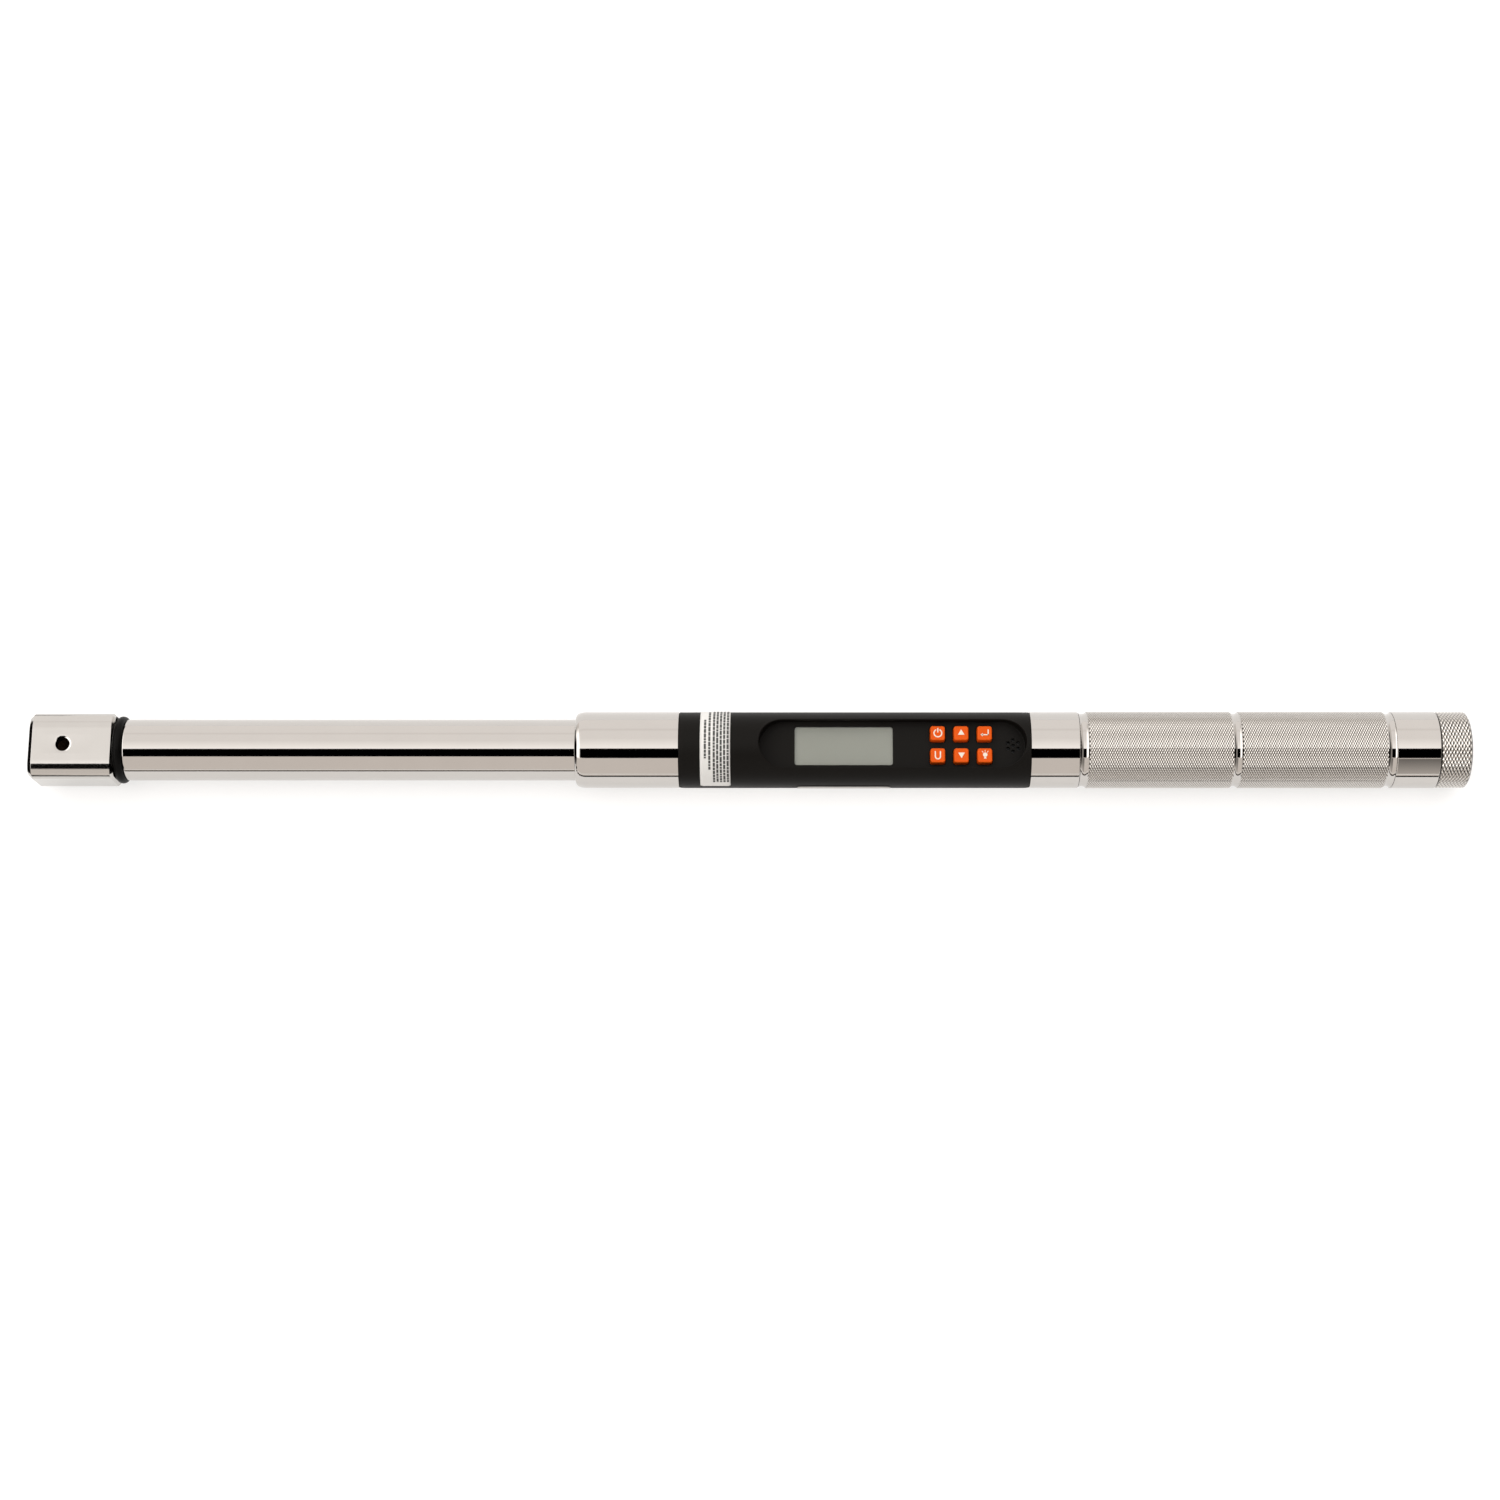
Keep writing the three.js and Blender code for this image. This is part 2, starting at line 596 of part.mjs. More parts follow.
function handleGrip() {
  return turnedTube([
    [GRIP_START - GRIP_SPIGOT_LENGTH, GRIP_SPIGOT_RADIUS],
    [GRIP_START, GRIP_SPIGOT_RADIUS],
    [GRIP_START, GRIP_GROOVE_RADIUS],
    [GRIP_FRONT_GROOVE_END, GRIP_GROOVE_RADIUS],
    [GRIP_FRONT_GROOVE_END, GRIP_RADIUS],
    [GRIP_MIDDLE_GROOVE[0], GRIP_RADIUS],
    [GRIP_MIDDLE_GROOVE[0], GRIP_GROOVE_RADIUS],
    [GRIP_MIDDLE_GROOVE[1], GRIP_GROOVE_RADIUS],
    [GRIP_MIDDLE_GROOVE[1], GRIP_RADIUS],
    [GRIP_REAR_RING_START, GRIP_RADIUS],
    [GRIP_REAR_RING_START, GRIP_GROOVE_RADIUS],
    [GRIP_END, GRIP_GROOVE_RADIUS],
  ], GRIP_BORE);
}

function handleCollar() {
  return turnedTube([
    [COLLAR_START - COLLAR_SPIGOT_LENGTH, COLLAR_SPIGOT_RADIUS],
    [COLLAR_START, COLLAR_SPIGOT_RADIUS],
    [COLLAR_START, GRIP_RADIUS - 0.3],
    [COLLAR_START + 0.3, GRIP_RADIUS],
    [COLLAR_END - 0.4, GRIP_RADIUS],
    [COLLAR_END, GRIP_RADIUS - 0.4],
  ], COLLAR_BORE);
}

function batteryTube() {
  const start = BATTERIES_START - 7;
  const wallEnd = BATTERIES_START - 1.6;
  const end = BATTERIES_START + BATTERY_COUNT * (BATTERY_LENGTH + JOINT_GAP) + 0.5;
  const [bore, outside] = [BATTERY_RADIUS + 0.5, BATTERY_RADIUS + 2];
  const rearFlange = COLLAR_START - 7;
  return turned([
    [start, 2],
    [start, GRIP_BORE - 0.2],
    [start + 3, GRIP_BORE - 0.2],
    [start + 3, outside],
    [rearFlange, outside],
    [rearFlange, COLLAR_BORE - 0.2],
    [rearFlange + 3, COLLAR_BORE - 0.2],
    [rearFlange + 3, outside],
    [end, outside],
    [end, bore],
    [wallEnd, bore],
    [wallEnd, 2],
    [start, 2],
  ], SMALL_SIDES);
}

function battery() {
  return turned([
    [0, 0],
    [0, BATTERY_NUB_RADIUS],
    [BATTERY_NUB_LENGTH, BATTERY_NUB_RADIUS],
    [BATTERY_NUB_LENGTH, BATTERY_RADIUS],
    [BATTERY_LENGTH, BATTERY_RADIUS],
    [BATTERY_LENGTH, 0],
  ], SMALL_SIDES);
}

place("handle_grip", handleGrip(), satinChrome);
place("handle_collar", handleCollar(), satinChrome);
place("battery_tube", batteryTube(), blackPlastic);
place("front_contact", bar("x", CONTACT_RADIUS, CONTACT_THICKNESS, [BATTERIES_START - 0.5, 0, 0]), brass);
for (let i = 0; i < BATTERY_COUNT; i += 1) {
  const x = BATTERIES_START + i * (BATTERY_LENGTH + JOINT_GAP);
  place(`battery_${i + 1}`, battery(), batteryWrap, [x, 0, 0]);
}
place("battery_wires", wire([
  [106, 6, -0.6], [114, 6.4, -4.2], [122, 5.8, -5.4], [130, 4, -4.6], [137, 1, -1], [141, 0, 0], [147, 0, 0],
]), wireRed);

// ---------------------------------------------------------------- screw cap

function endCap() {
  const grooveRadius = CAP_PLUG_RADIUS - 1.75;
  const [grooveStart, grooveEnd] = [CAP_RING_X - 1.2, CAP_RING_X + 1.2];
  const edgeSteps = 4;
  const edge = Array.from({ length: edgeSteps + 1 }, (_, i) => {
    const turn = (i / edgeSteps) * (Math.PI / 2);
    return [
      CAP_END - CAP_EDGE * (1 - Math.sin(turn)),
      CAP_RADIUS - CAP_EDGE * (1 - Math.cos(turn)),
    ];
  });
  return turned([
    [CAP_BORE_END, 0],
    [CAP_BORE_END, CAP_BORE],
    [CAP_PLUG_START, CAP_BORE],
    [CAP_PLUG_START, CAP_PLUG_RADIUS],
    [grooveStart, CAP_PLUG_RADIUS],
    [grooveStart, grooveRadius],
    [grooveEnd, grooveRadius],
    [grooveEnd, CAP_PLUG_RADIUS],
    [CAP_START, CAP_PLUG_RADIUS],
    [CAP_START, CAP_RADIUS],
    ...edge,
    [CAP_END, 0],
  ]);
}

class Helix extends THREE.Curve {
  getPoint(t) {
    const [start, end] = SPRING_SPAN;
    const turn = 2 * Math.PI * SPRING_TURNS * t;
    return new THREE.Vector3(
      start + (end - start) * t, SPRING_RADIUS * Math.cos(turn), SPRING_RADIUS * Math.sin(turn));
  }
}

place("end_cap", endCap(), satinChrome);
place("cap_oring", ring(CAP_RING_X, CAP_PLUG_RADIUS - 0.75, CAP_RING_SECTION), blackRubber);
place("cap_contact", bar("x", CAP_CONTACT_RADIUS, CAP_CONTACT_THICKNESS, [CAP_BORE_END - 0.8, 0, 0]), brass);
place("cap_spring", drawnRound(new Helix(), SPRING_WIRE, 14 * SPRING_TURNS, 3), springSteel);

const assembly = new THREE.Group();
assembly.add(wrench);

export default assembly;
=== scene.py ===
"""The looks of an electronic torque wrench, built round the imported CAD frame.

X runs along the tool (head at -X), +Z comes out of the display. Lengths are in metres; MM turns
millimetres into metres. Every turned piece is drawn about the tool's axis, which is AXIS_Z above the floor.
"""
import json
import random
from math import acos, asin, atan2, copysign, cos, hypot, pi, radians, sin, sqrt, tan

import bmesh
import bpy
from mathutils import Matrix, Vector


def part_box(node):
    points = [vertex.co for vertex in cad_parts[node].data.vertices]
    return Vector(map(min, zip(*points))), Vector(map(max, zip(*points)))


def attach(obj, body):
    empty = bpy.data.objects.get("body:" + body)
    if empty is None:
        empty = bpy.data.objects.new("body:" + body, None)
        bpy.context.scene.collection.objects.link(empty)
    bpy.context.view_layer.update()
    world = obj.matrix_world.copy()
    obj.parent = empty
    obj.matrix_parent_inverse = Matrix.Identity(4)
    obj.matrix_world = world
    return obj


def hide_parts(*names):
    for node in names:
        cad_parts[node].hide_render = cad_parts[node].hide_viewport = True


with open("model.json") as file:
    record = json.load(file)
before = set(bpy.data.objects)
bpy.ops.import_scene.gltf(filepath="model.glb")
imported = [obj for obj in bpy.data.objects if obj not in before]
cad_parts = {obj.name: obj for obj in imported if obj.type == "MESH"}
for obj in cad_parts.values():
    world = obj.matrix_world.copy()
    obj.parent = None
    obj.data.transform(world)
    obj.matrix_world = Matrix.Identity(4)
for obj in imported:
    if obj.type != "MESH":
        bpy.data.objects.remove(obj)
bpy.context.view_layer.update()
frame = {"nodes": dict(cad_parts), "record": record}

MM = 0.001
FINE = 180                       # facets round a turned piece

collar_low, collar_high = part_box("handle_collar")
AXIS_Z = (collar_low.z + collar_high.z) / 2


# ------------------------------ places, angles and curves

def x_span(node):
    low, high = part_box(node)
    return low.x, high.x


def centre(node):
    """The middle of a node's box, seen from above."""
    low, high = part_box(node)
    return (low.x + high.x) / 2, (low.y + high.y) / 2


def up(point, height):
    """Places an outline's point in X and Y at a height above the tool's axis."""
    return point[0], point[1], AXIS_Z + height


def round_tool(x, radius, turn):
    """A point round the tool's axis: turn runs from the top towards -Y."""
    return x, -radius * sin(turn), AXIS_Z + radius * cos(turn)


def full_turn(steps, shift=0.0):
    """Evenly spaced angles round a circle."""
    return [2 * pi * (i + shift) / steps for i in range(steps)]


def quarter_turn(steps):
    """Angles from 0 to 90 degrees, with both ends."""
    return [pi / 2 * i / steps for i in range(steps + 1)]


def circle_at(x, radius):
    return [(x, radius * cos(t), AXIS_Z + radius * sin(t)) for t in full_turn(FINE, 0.5)]


def disc_outline(x, y, radius, sides=48):
    return [(x + radius * cos(t), y + radius * sin(t)) for t in full_turn(sides)]


def rounded_rectangle(width, height, corner, middle=(0, 0), steps=6):
    """Points round a rectangle with round corners, counter-clockwise from its right side."""
    points = []
    for quarter, (sx, sy) in enumerate(((1, 1), (-1, 1), (-1, -1), (1, -1))):
        x = middle[0] + sx * (width / 2 - corner)
        y = middle[1] + sy * (height / 2 - corner)
        for t in quarter_turn(steps):
            turn = quarter * pi / 2 + t
            points.append((x + corner * cos(turn), y + corner * sin(turn)))
    return points


def bezier(start, control, end, t):
    start, control, end = Vector(start), Vector(control), Vector(end)
    return tuple(start * (1 - t) ** 2 + control * 2 * t * (1 - t) + end * t * t)


def farthest(inside, high):
    """The greatest distance up to high at which inside(distance) still holds, found by halving."""
    low = 0.0
    for _ in range(44):
        middle = (low + high) / 2
        if inside(middle):
            low = middle
        else:
            high = middle
    return low


# ------------------------------ mesh building

def add_object(name, data):
    obj = bpy.data.objects.new(name, data)
    bpy.context.scene.collection.objects.link(obj)
    return obj


def evaluated_mesh(obj):
    """A new mesh of an object with its modifiers or its curve's settings applied."""
    graph = bpy.context.evaluated_depsgraph_get()
    return bpy.data.meshes.new_from_object(obj.evaluated_get(graph))


class Sheets:
    """Collects points and faces, and hands them over as one mesh piece."""

    def __init__(self):
        self.points = []
        self.faces = []

    def ring(self, points):
        first = len(self.points)
        self.points.extend(points)
        return list(range(first, len(self.points)))

    def bridge(self, a, b, closed=True):
        count = len(a)
        for i in range(count if closed else count - 1):
            j = (i + 1) % count
            self.faces.append((a[i], a[j], b[j], b[i]))

    def fan(self, ring, centre, flip=False):
        tip = len(self.points)
        self.points.append(centre)
        for i, a in enumerate(ring):
            b = ring[(i + 1) % len(ring)]
            self.faces.append((b, a, tip) if flip else (a, b, tip))

    def loft(self, rings, start=None, end=None):
        """Skins a list of equal rings, with optional centre points that close its two ends."""
        indexed = [self.ring(ring) for ring in rings]
        for a, b in zip(indexed, indexed[1:]):
            self.bridge(a, b)
        if start is not None:
            self.fan(indexed[0], start, flip=True)
        if end is not None:
            self.fan(indexed[-1], end)
        return indexed

    def slab(self, bottom, top):
        """A closed body between two equal outlines."""
        bottom, top = self.ring(bottom), self.ring(top)
        self.bridge(bottom, top)
        self.faces += [tuple(reversed(bottom)), tuple(top)]

    def strip(self, rows):
        """An open sheet through rows of points."""
        indexed = [self.ring(row) for row in rows]
        for a, b in zip(indexed, indexed[1:]):
            self.bridge(a, b, closed=False)

    def to_object(self, name, crease=32):
        mesh = bpy.data.meshes.new(name)
        mesh.from_pydata([tuple(p) for p in self.points], [], self.faces)
        mesh.validate()
        mesh.update()
        obj = add_object(name, mesh)
        outward(obj)
        shade(obj, crease)
        return obj


def outward(obj):
    bm = bmesh.new()
    bm.from_mesh(obj.data)
    bmesh.ops.recalc_face_normals(bm, faces=bm.faces)
    bm.to_mesh(obj.data)
    bm.free()


def shade(obj, crease):
    obj.data.shade_smooth()
    obj.data.set_sharp_from_angle(angle=radians(crease))


def rounded_profile(points, radius, steps=4):
    """Rounds each inner corner of a profile of (x, r) points."""
    result = [points[0]]
    for before, corner, after in zip(points, points[1:], points[2:]):
        a, c, b = Vector(before), Vector(corner), Vector(after)
        reach = min(radius, (a - c).length * 0.45, (b - c).length * 0.45)
        start = c + (a - c).normalized() * reach
        end = c + (b - c).normalized() * reach
        result += [bezier(start, c, end, i / steps) for i in range(steps + 1)]
    result.append(points[-1])
    return result


def supported(profile, reach=0.12 * MM):
    """Adds a point near each end of every long stretch, so that its smooth shading stays straight."""
    result = [profile[0]]
    for a, b in zip(profile, profile[1:]):
        gap = Vector(b) - Vector(a)
        if gap.length > 4 * reach:
            step = gap.normalized() * reach
            result += [tuple(Vector(a) + step), tuple(Vector(b) - step)]
        result.append(b)
    return result


def turned(sheets, profile, closed=False):
    """A turned skin about the tool's axis. A profile that starts or ends at r = 0 is closed there."""
    profile = supported(profile)
    start = end = None
    if profile[0][1] == 0:
        start = (profile[0][0], 0, AXIS_Z)
        profile = profile[1:]
    if profile[-1][1] == 0:
        end = (profile[-1][0], 0, AXIS_Z)
        profile = profile[:-1]
    rings = sheets.loft([circle_at(x, r) for x, r in profile], start, end)
    if closed:
        sheets.bridge(rings[-1], rings[0])


def cut(obj, *cutters):
    """Cuts closed meshes out of obj and removes them."""
    for cutter in cutters:
        modifier = obj.modifiers.new("cut", "BOOLEAN")
        modifier.operation = "DIFFERENCE"
        modifier.solver = "EXACT"
        modifier.object = cutter
    mesh = evaluated_mesh(obj)
    obj.modifiers.clear()
    obj.data = mesh
    for cutter in cutters:
        bpy.data.objects.remove(cutter)


def even_shading(obj):
    """Lets large faces, not the slivers that a cut leaves beside them, decide the shading at an edge."""
    weighted = obj.modifiers.new("even_shading", "WEIGHTED_NORMAL")
    weighted.keep_sharp = True
    weighted.weight = 100


def quad(name, corners):
    sheets = Sheets()
    sheets.faces.append(tuple(sheets.ring(corners)))
    return sheets.to_object(name)


def prism(outline, place, low, high):
    """A closed prism: place turns an outline point and a height into a point in space."""
    sheets = Sheets()
    sheets.slab([place(p, low) for p in outline], [place(p, high) for p in outline])
    return sheets.to_object("cutter")


# ------------------------------ material building

class Nodes:
    """A small helper round one node tree."""

    def __init__(self, name, tree=None):
        if tree is None:
            self.material = bpy.data.materials.new(name)
            self.material.use_nodes = True
            tree = self.material.node_tree
            self.shader = tree.nodes["Principled BSDF"]
        self.tree = tree

    def add(self, kind, **values):
        node = self.tree.nodes.new(kind)
        for key, value in values.items():
            if key in node.inputs:
                node.inputs[key].default_value = value
            else:
                setattr(node, key, value)
        return node

    def link(self, output, target):
        self.tree.links.new(output, target)

    def feed(self, socket, value):
        """Gives a socket another socket's output, a colour or a number."""
        if isinstance(value, bpy.types.NodeSocket):
            self.link(value, socket)
        elif isinstance(value, tuple):
            socket.default_value = (*value, 1)
        elif value is not None:
            socket.default_value = value

    def place(self, scale=(1, 1, 1)):
        """Object coordinates, stretched."""
        coordinates = self.add("ShaderNodeTexCoord")
        mapping = self.add("ShaderNodeMapping")
        mapping.inputs["Scale"].default_value = scale
        self.link(coordinates.outputs["Object"], mapping.inputs["Vector"])
        return mapping.outputs["Vector"]

    def noise(self, scale, stretch=(1, 1, 1), detail=3.0, roughness=0.55):
        node = self.add("ShaderNodeTexNoise", Scale=scale, Detail=detail, Roughness=roughness)
        self.link(self.place(stretch), node.inputs["Vector"])
        return node.outputs["Fac"]

    def between(self, factor, low, high, start=0.0, end=1.0, smooth=False):
        """Maps start..end of a factor onto low..high."""
        node = self.add("ShaderNodeMapRange", interpolation_type="SMOOTHSTEP" if smooth else "LINEAR")
        for socket, value in (("From Min", start), ("From Max", end), ("To Min", low), ("To Max", high)):
            node.inputs[socket].default_value = value
        self.link(factor, node.inputs["Value"])
        return node.outputs["Result"]

    def maths(self, operation, a, b=None):
        node = self.add("ShaderNodeMath", operation=operation)
        for socket, value in zip(node.inputs, (a, b)):
            self.feed(socket, value)
        return node.outputs["Value"]

    def ramp(self, factor, stops):
        """A colour ramp from (place, colour) pairs."""
        node = self.add("ShaderNodeValToRGB")
        elements = node.color_ramp.elements
        elements.remove(elements[1])
        for number, (place, colour) in enumerate(stops):
            element = elements[0] if number == 0 else elements.new(place)
            element.position = place
            element.color = (*colour, 1)
        self.link(factor, node.inputs["Fac"])
        return node.outputs["Color"]

    def mix(self, factor, a, b, blend="MIX"):
        """Mixes two colours, which are a mix node's inputs 6 and 7 and its output 2."""
        node = self.add("ShaderNodeMix", data_type="RGBA", blend_type=blend)
        for number, value in ((0, factor), (6, a), (7, b)):
            self.feed(node.inputs[number], value)
        return node.outputs[2]

    def bump(self, height, strength, distance):
        node = self.add("ShaderNodeBump", Strength=strength, Distance=distance)
        self.link(height, node.inputs["Height"])
        self.link(node.outputs["Normal"], self.shader.inputs["Normal"])

    def set(self, **values):
        for key, value in values.items():
            self.feed(self.shader.inputs[key.replace("_", " ")], value)

    def coat(self, pattern, dark, light, smoothest, roughest, **rest):
        """A colour and a roughness that drift together with one pattern."""
        self.set(Base_Color=self.mix(pattern, dark, light),
                 Roughness=self.between(pattern, smoothest, roughest), **rest)


def bright_chrome():
    """Turned, polished and plated: a near mirror with faint marks round the tool and soft patches of haze."""
    n = Nodes("bright_chrome")
    marks = n.noise(900, (3, 0.05, 0.05), detail=2)
    haze = n.noise(60, detail=4)
    n.coat(haze, (0.505, 0.485, 0.463), (0.535, 0.513, 0.49), 0.035, 0.06, Metallic=1.0)
    n.bump(marks, 0.02, 0.00001)
    return n.material


def ground_chrome():
    """The head's plating over a finely ground surface."""
    n = Nodes("ground_chrome")
    grain = n.noise(4200, detail=2)
    haze = n.noise(90, detail=4)
    n.coat(haze, (0.505, 0.49, 0.468), (0.545, 0.53, 0.51), 0.09, 0.13, Metallic=1.0)
    n.bump(grain, 0.06, 0.00002)
    return n.material


def knurled_chrome():
    """The plating over the knurling, with painted shade and some dirt darkening the grooves between the
    rolled points.
    """
    n = Nodes("knurled_chrome")
    haze = n.noise(220, detail=4)
    depth = n.add("ShaderNodeAttribute", attribute_name="point_height")
    crest = n.between(depth.outputs["Fac"], 0.0, 1.0, 0.0, 0.3)
    crest_tone = n.mix(haze, (0.55, 0.525, 0.495), (0.61, 0.583, 0.55))
    # painted shade: the grooves take a near-black colour for the shade and dirt between the points; the
    # crests keep the plating's tone
    n.set(Base_Color=n.mix(crest, (0.10, 0.09, 0.08), crest_tone), Metallic=1.0,
          Roughness=n.between(haze, 0.12, 0.18))
    return n.material


def painted_shade_steel():
    """The inside of the socket: steel with near-black painted shade, and brownish patches that are painted
    glints.
    """
    n = Nodes("painted_shade_steel")
    shade_glints = n.noise(220, detail=5)
    # painted shade, near-black, with brownish painted glints
    n.coat(shade_glints, (0.012, 0.009, 0.007), (0.075, 0.042, 0.026), 0.3, 0.5, Metallic=1.0)
    return n.material


def machined_steel():
    n = Nodes("machined_steel")
    marks = n.noise(1500, (1, 0.1, 0.1), detail=2)
    n.coat(marks, (0.40, 0.39, 0.38), (0.56, 0.55, 0.54), 0.25, 0.4, Metallic=1.0)
    n.bump(marks, 0.08, 0.00002)
    return n.material


def moulded_plastic(name, dark, light, roughness, gloss=0.5, grain_scale=2600.0, grain=0.25):
    """Injection-moulded plastic with a spark-eroded grain."""
    n = Nodes(name)
    texture = n.noise(grain_scale, detail=3)
    patches = n.noise(45, detail=3)
    n.coat(patches, dark, light, roughness - 0.04, roughness + 0.05, Specular_IOR_Level=gloss)
    n.bump(texture, grain, 0.00004)
    return n.material


def black_rubber():
    n = Nodes("black_rubber")
    patches = n.noise(300, detail=4)
    n.coat(patches, (0.0015, 0.0014, 0.0013), (0.004, 0.0038, 0.0035), 0.34, 0.46, Specular_IOR_Level=0.07)
    n.bump(patches, 0.1, 0.00003)
    return n.material


def key_orange():
    n = Nodes("key_orange")
    patches = n.noise(500, detail=4)
    grain = n.noise(5200, detail=2)
    n.coat(patches, (0.56, 0.068, 0.002), (0.63, 0.082, 0.0035), 0.42, 0.52, Specular_IOR_Level=0.1)
    n.bump(grain, 0.12, 0.00003)
    return n.material


def display_face():
    """The panel's grey-green, with the faint grain of its reflector."""
    n = Nodes("display_face")
    drift = n.noise(35, detail=2)
    grain = n.noise(3800, detail=3)
    tone = n.mix(drift, (0.122, 0.121, 0.094), (0.140, 0.138, 0.108))
    speckled = n.mix(1.0, tone, n.between(grain, 0.93, 1.07), blend="MULTIPLY")
    n.set(Base_Color=speckled, Roughness=n.between(drift, 0.42, 0.5), Specular_IOR_Level=0.15)
    return n.material


def clear_window():
    n = Nodes("clear_window")
    smear = n.noise(70, detail=3)
    n.set(Base_Color=(0.80, 0.84, 0.79), Roughness=n.between(smear, 0.16, 0.22), Alpha=0.10)
    return n.material


def patchy(name, scale, dark, light, smoothest, roughest, **rest):
    """A plain finish that only drifts in patches: print, films and plated contacts."""
    n = Nodes(name)
    n.coat(n.noise(scale, detail=4), dark, light, smoothest, roughest, **rest)
    return n.material


MATERIALS = {
    "satin_chrome": bright_chrome(),
    "head_chrome": ground_chrome(),
    "steel": machined_steel(),
    "black_rubber": black_rubber(),
    "black_plastic": moulded_plastic("black_plastic", (0.0050, 0.0044, 0.0037), (0.0068, 0.0060, 0.0051),
                                     0.46, gloss=0.08),
    "orange_key": key_orange(),
    "label_white": patchy("label_white", 160, (0.60, 0.59, 0.57), (0.67, 0.66, 0.64), 0.42, 0.52),
    "label_silver": patchy("label_silver", 160, (0.36, 0.345, 0.33), (0.44, 0.42, 0.40), 0.3, 0.4,
                           Metallic=0.6),
    "clear_window": clear_window(),
    "display": display_face(),
    "board": moulded_plastic("board_green", (0.01, 0.07, 0.025), (0.02, 0.12, 0.045), 0.35,
                             grain_scale=400.0, grain=0.1),
    "chip": moulded_plastic("chip_black", (0.012, 0.012, 0.013), (0.02, 0.02, 0.022), 0.55),
    "brass": patchy("plated_brass", 300, (0.62, 0.42, 0.14), (0.78, 0.58, 0.25), 0.22, 0.36,
                    Metallic=1.0),
    "battery": moulded_plastic("battery_wrap", (0.02, 0.06, 0.20), (0.035, 0.09, 0.28), 0.25,
                               grain_scale=900.0, grain=0.05),
    "wire": moulded_plastic("wire_red", (0.30, 0.012, 0.008), (0.42, 0.02, 0.012), 0.45,
                            grain_scale=900.0, grain=0.05),
    "gauge_foil": patchy("gauge_foil", 160, (0.45, 0.22, 0.05), (0.62, 0.33, 0.09), 0.3, 0.4,
                         Metallic=0.5),
}
KNURLED = knurled_chrome()
SOCKET_INSIDE = painted_shade_steel()
KEY_PRINT = patchy("key_print", 1400, (0.60, 0.53, 0.44), (0.70, 0.64, 0.55), 0.4, 0.5)
LABEL_INK = patchy("label_ink", 2500, (0.018, 0.018, 0.018), (0.07, 0.07, 0.068), 0.5, 0.62)


def finish_piece(obj, slot, replaces=(), body="frame", material=None):
    """Gives a piece the given material or its slot's finish and the body it rides on, and hides the CAD nodes
    it replaces.
    """
    obj.data.materials.clear()
    obj.data.materials.append(material or MATERIALS[slot])
    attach(obj, body)
    if replaces:
        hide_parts(*replaces)


def finish_cad_nodes():
    """Gives every CAD node that still shows the finish of its own slot."""
    slots = {part["node"]: part["material_slot"] for part in frame["record"]["subparts"]}
    for name, obj in frame["nodes"].items():
        obj.data.materials.clear()
        obj.data.materials.append(MATERIALS[slots[name]])


finish_cad_nodes()


# ------------------------------ head

HEAD_BAR = 17.0 * MM
HEAD_HALF_WIDTH = 15.1 * MM
HEAD_HALF_THICKNESS = 12.1 * MM
CROWN_START = 7.3 * MM           # the front and back flats curve away beyond this
CROWN_RADIUS = 9.6 * MM
CROWN_TURN = radians(27)
HEAD_BEVEL = 1.9 * MM
INNER_BEVEL = 1.2 * MM           # at the end that meets the neck
HEAD_CREASE = 24                 # degrees beyond which an edge of the head shows as sharp
HEAD_LENGTH = 38.5 * MM
SOCKET = (18 * MM, 14 * MM)
SOCKET_DEPTH = 30 * MM
CATCH_HOLE = (15.7 * MM, 3.2 * MM, 4.35 * MM)   # inset from the tip, radius, rim radius
SOCKET_CORNER = 0.9 * MM
SOCKET_LEAD = (1.6 * MM, 0.7 * MM)       # growth a millimetre before the mouth, depth where it ends
NECK_RADIUS = 11.7 * MM
NECK_RING = (1.75 * MM, 2.1 * MM, 1.8 * MM)     # centre above the neck, half width, half height

head_tip, _ = x_span("head_holder")
tube_start, tube_end = x_span("front_tube")
head_end = head_tip + HEAD_LENGTH


def crown_drop(y):
    """How far the front flat has curved away at a distance y from its middle."""
    past = abs(y) - CROWN_START
    if past <= 0:
        return 0.0
    arc = CROWN_RADIUS * sin(CROWN_TURN)
    if past <= arc:
        return CROWN_RADIUS - sqrt(CROWN_RADIUS ** 2 - past ** 2)
    return CROWN_RADIUS * (1 - cos(CROWN_TURN)) + (past - arc) * tan(CROWN_TURN)


def head_reach(turn, inset):
    """The head's radius in one direction: the bar it is made from, less its four flats."""
    c, s = abs(cos(turn)), abs(sin(turn))
    reach = HEAD_BAR - inset
    if c > 1e-6:
        reach = min(reach, (HEAD_HALF_WIDTH - inset) / c)

    def inside(distance):
        return distance * s <= HEAD_HALF_THICKNESS - inset - crown_drop(distance * c)

    return farthest(inside, reach)


def head_ring(x, inset, sides=288):
    reaches = [(turn, head_reach(turn, inset)) for turn in full_turn(sides, 0.5)]
    return [(x, reach * cos(turn), AXIS_Z + reach * sin(turn)) for turn, reach in reaches]


def bevel_rings(size, steps=3):
    """Depths and insets from an end face out to the full section, along a bevel with softened ends."""
    inner = [(0.0, 1.25 * size), (0.0, size), (0.12 * size, 0.86 * size)]
    slope = [((0.12 + 0.76 * i / steps) * size, (0.86 - 0.72 * i / steps) * size)
             for i in range(1, steps + 1)]
    outer = [(size, 0.02 * size), (1.15 * size, 0.0), (1.25 * size, 0.0)]
    return inner + slope + outer


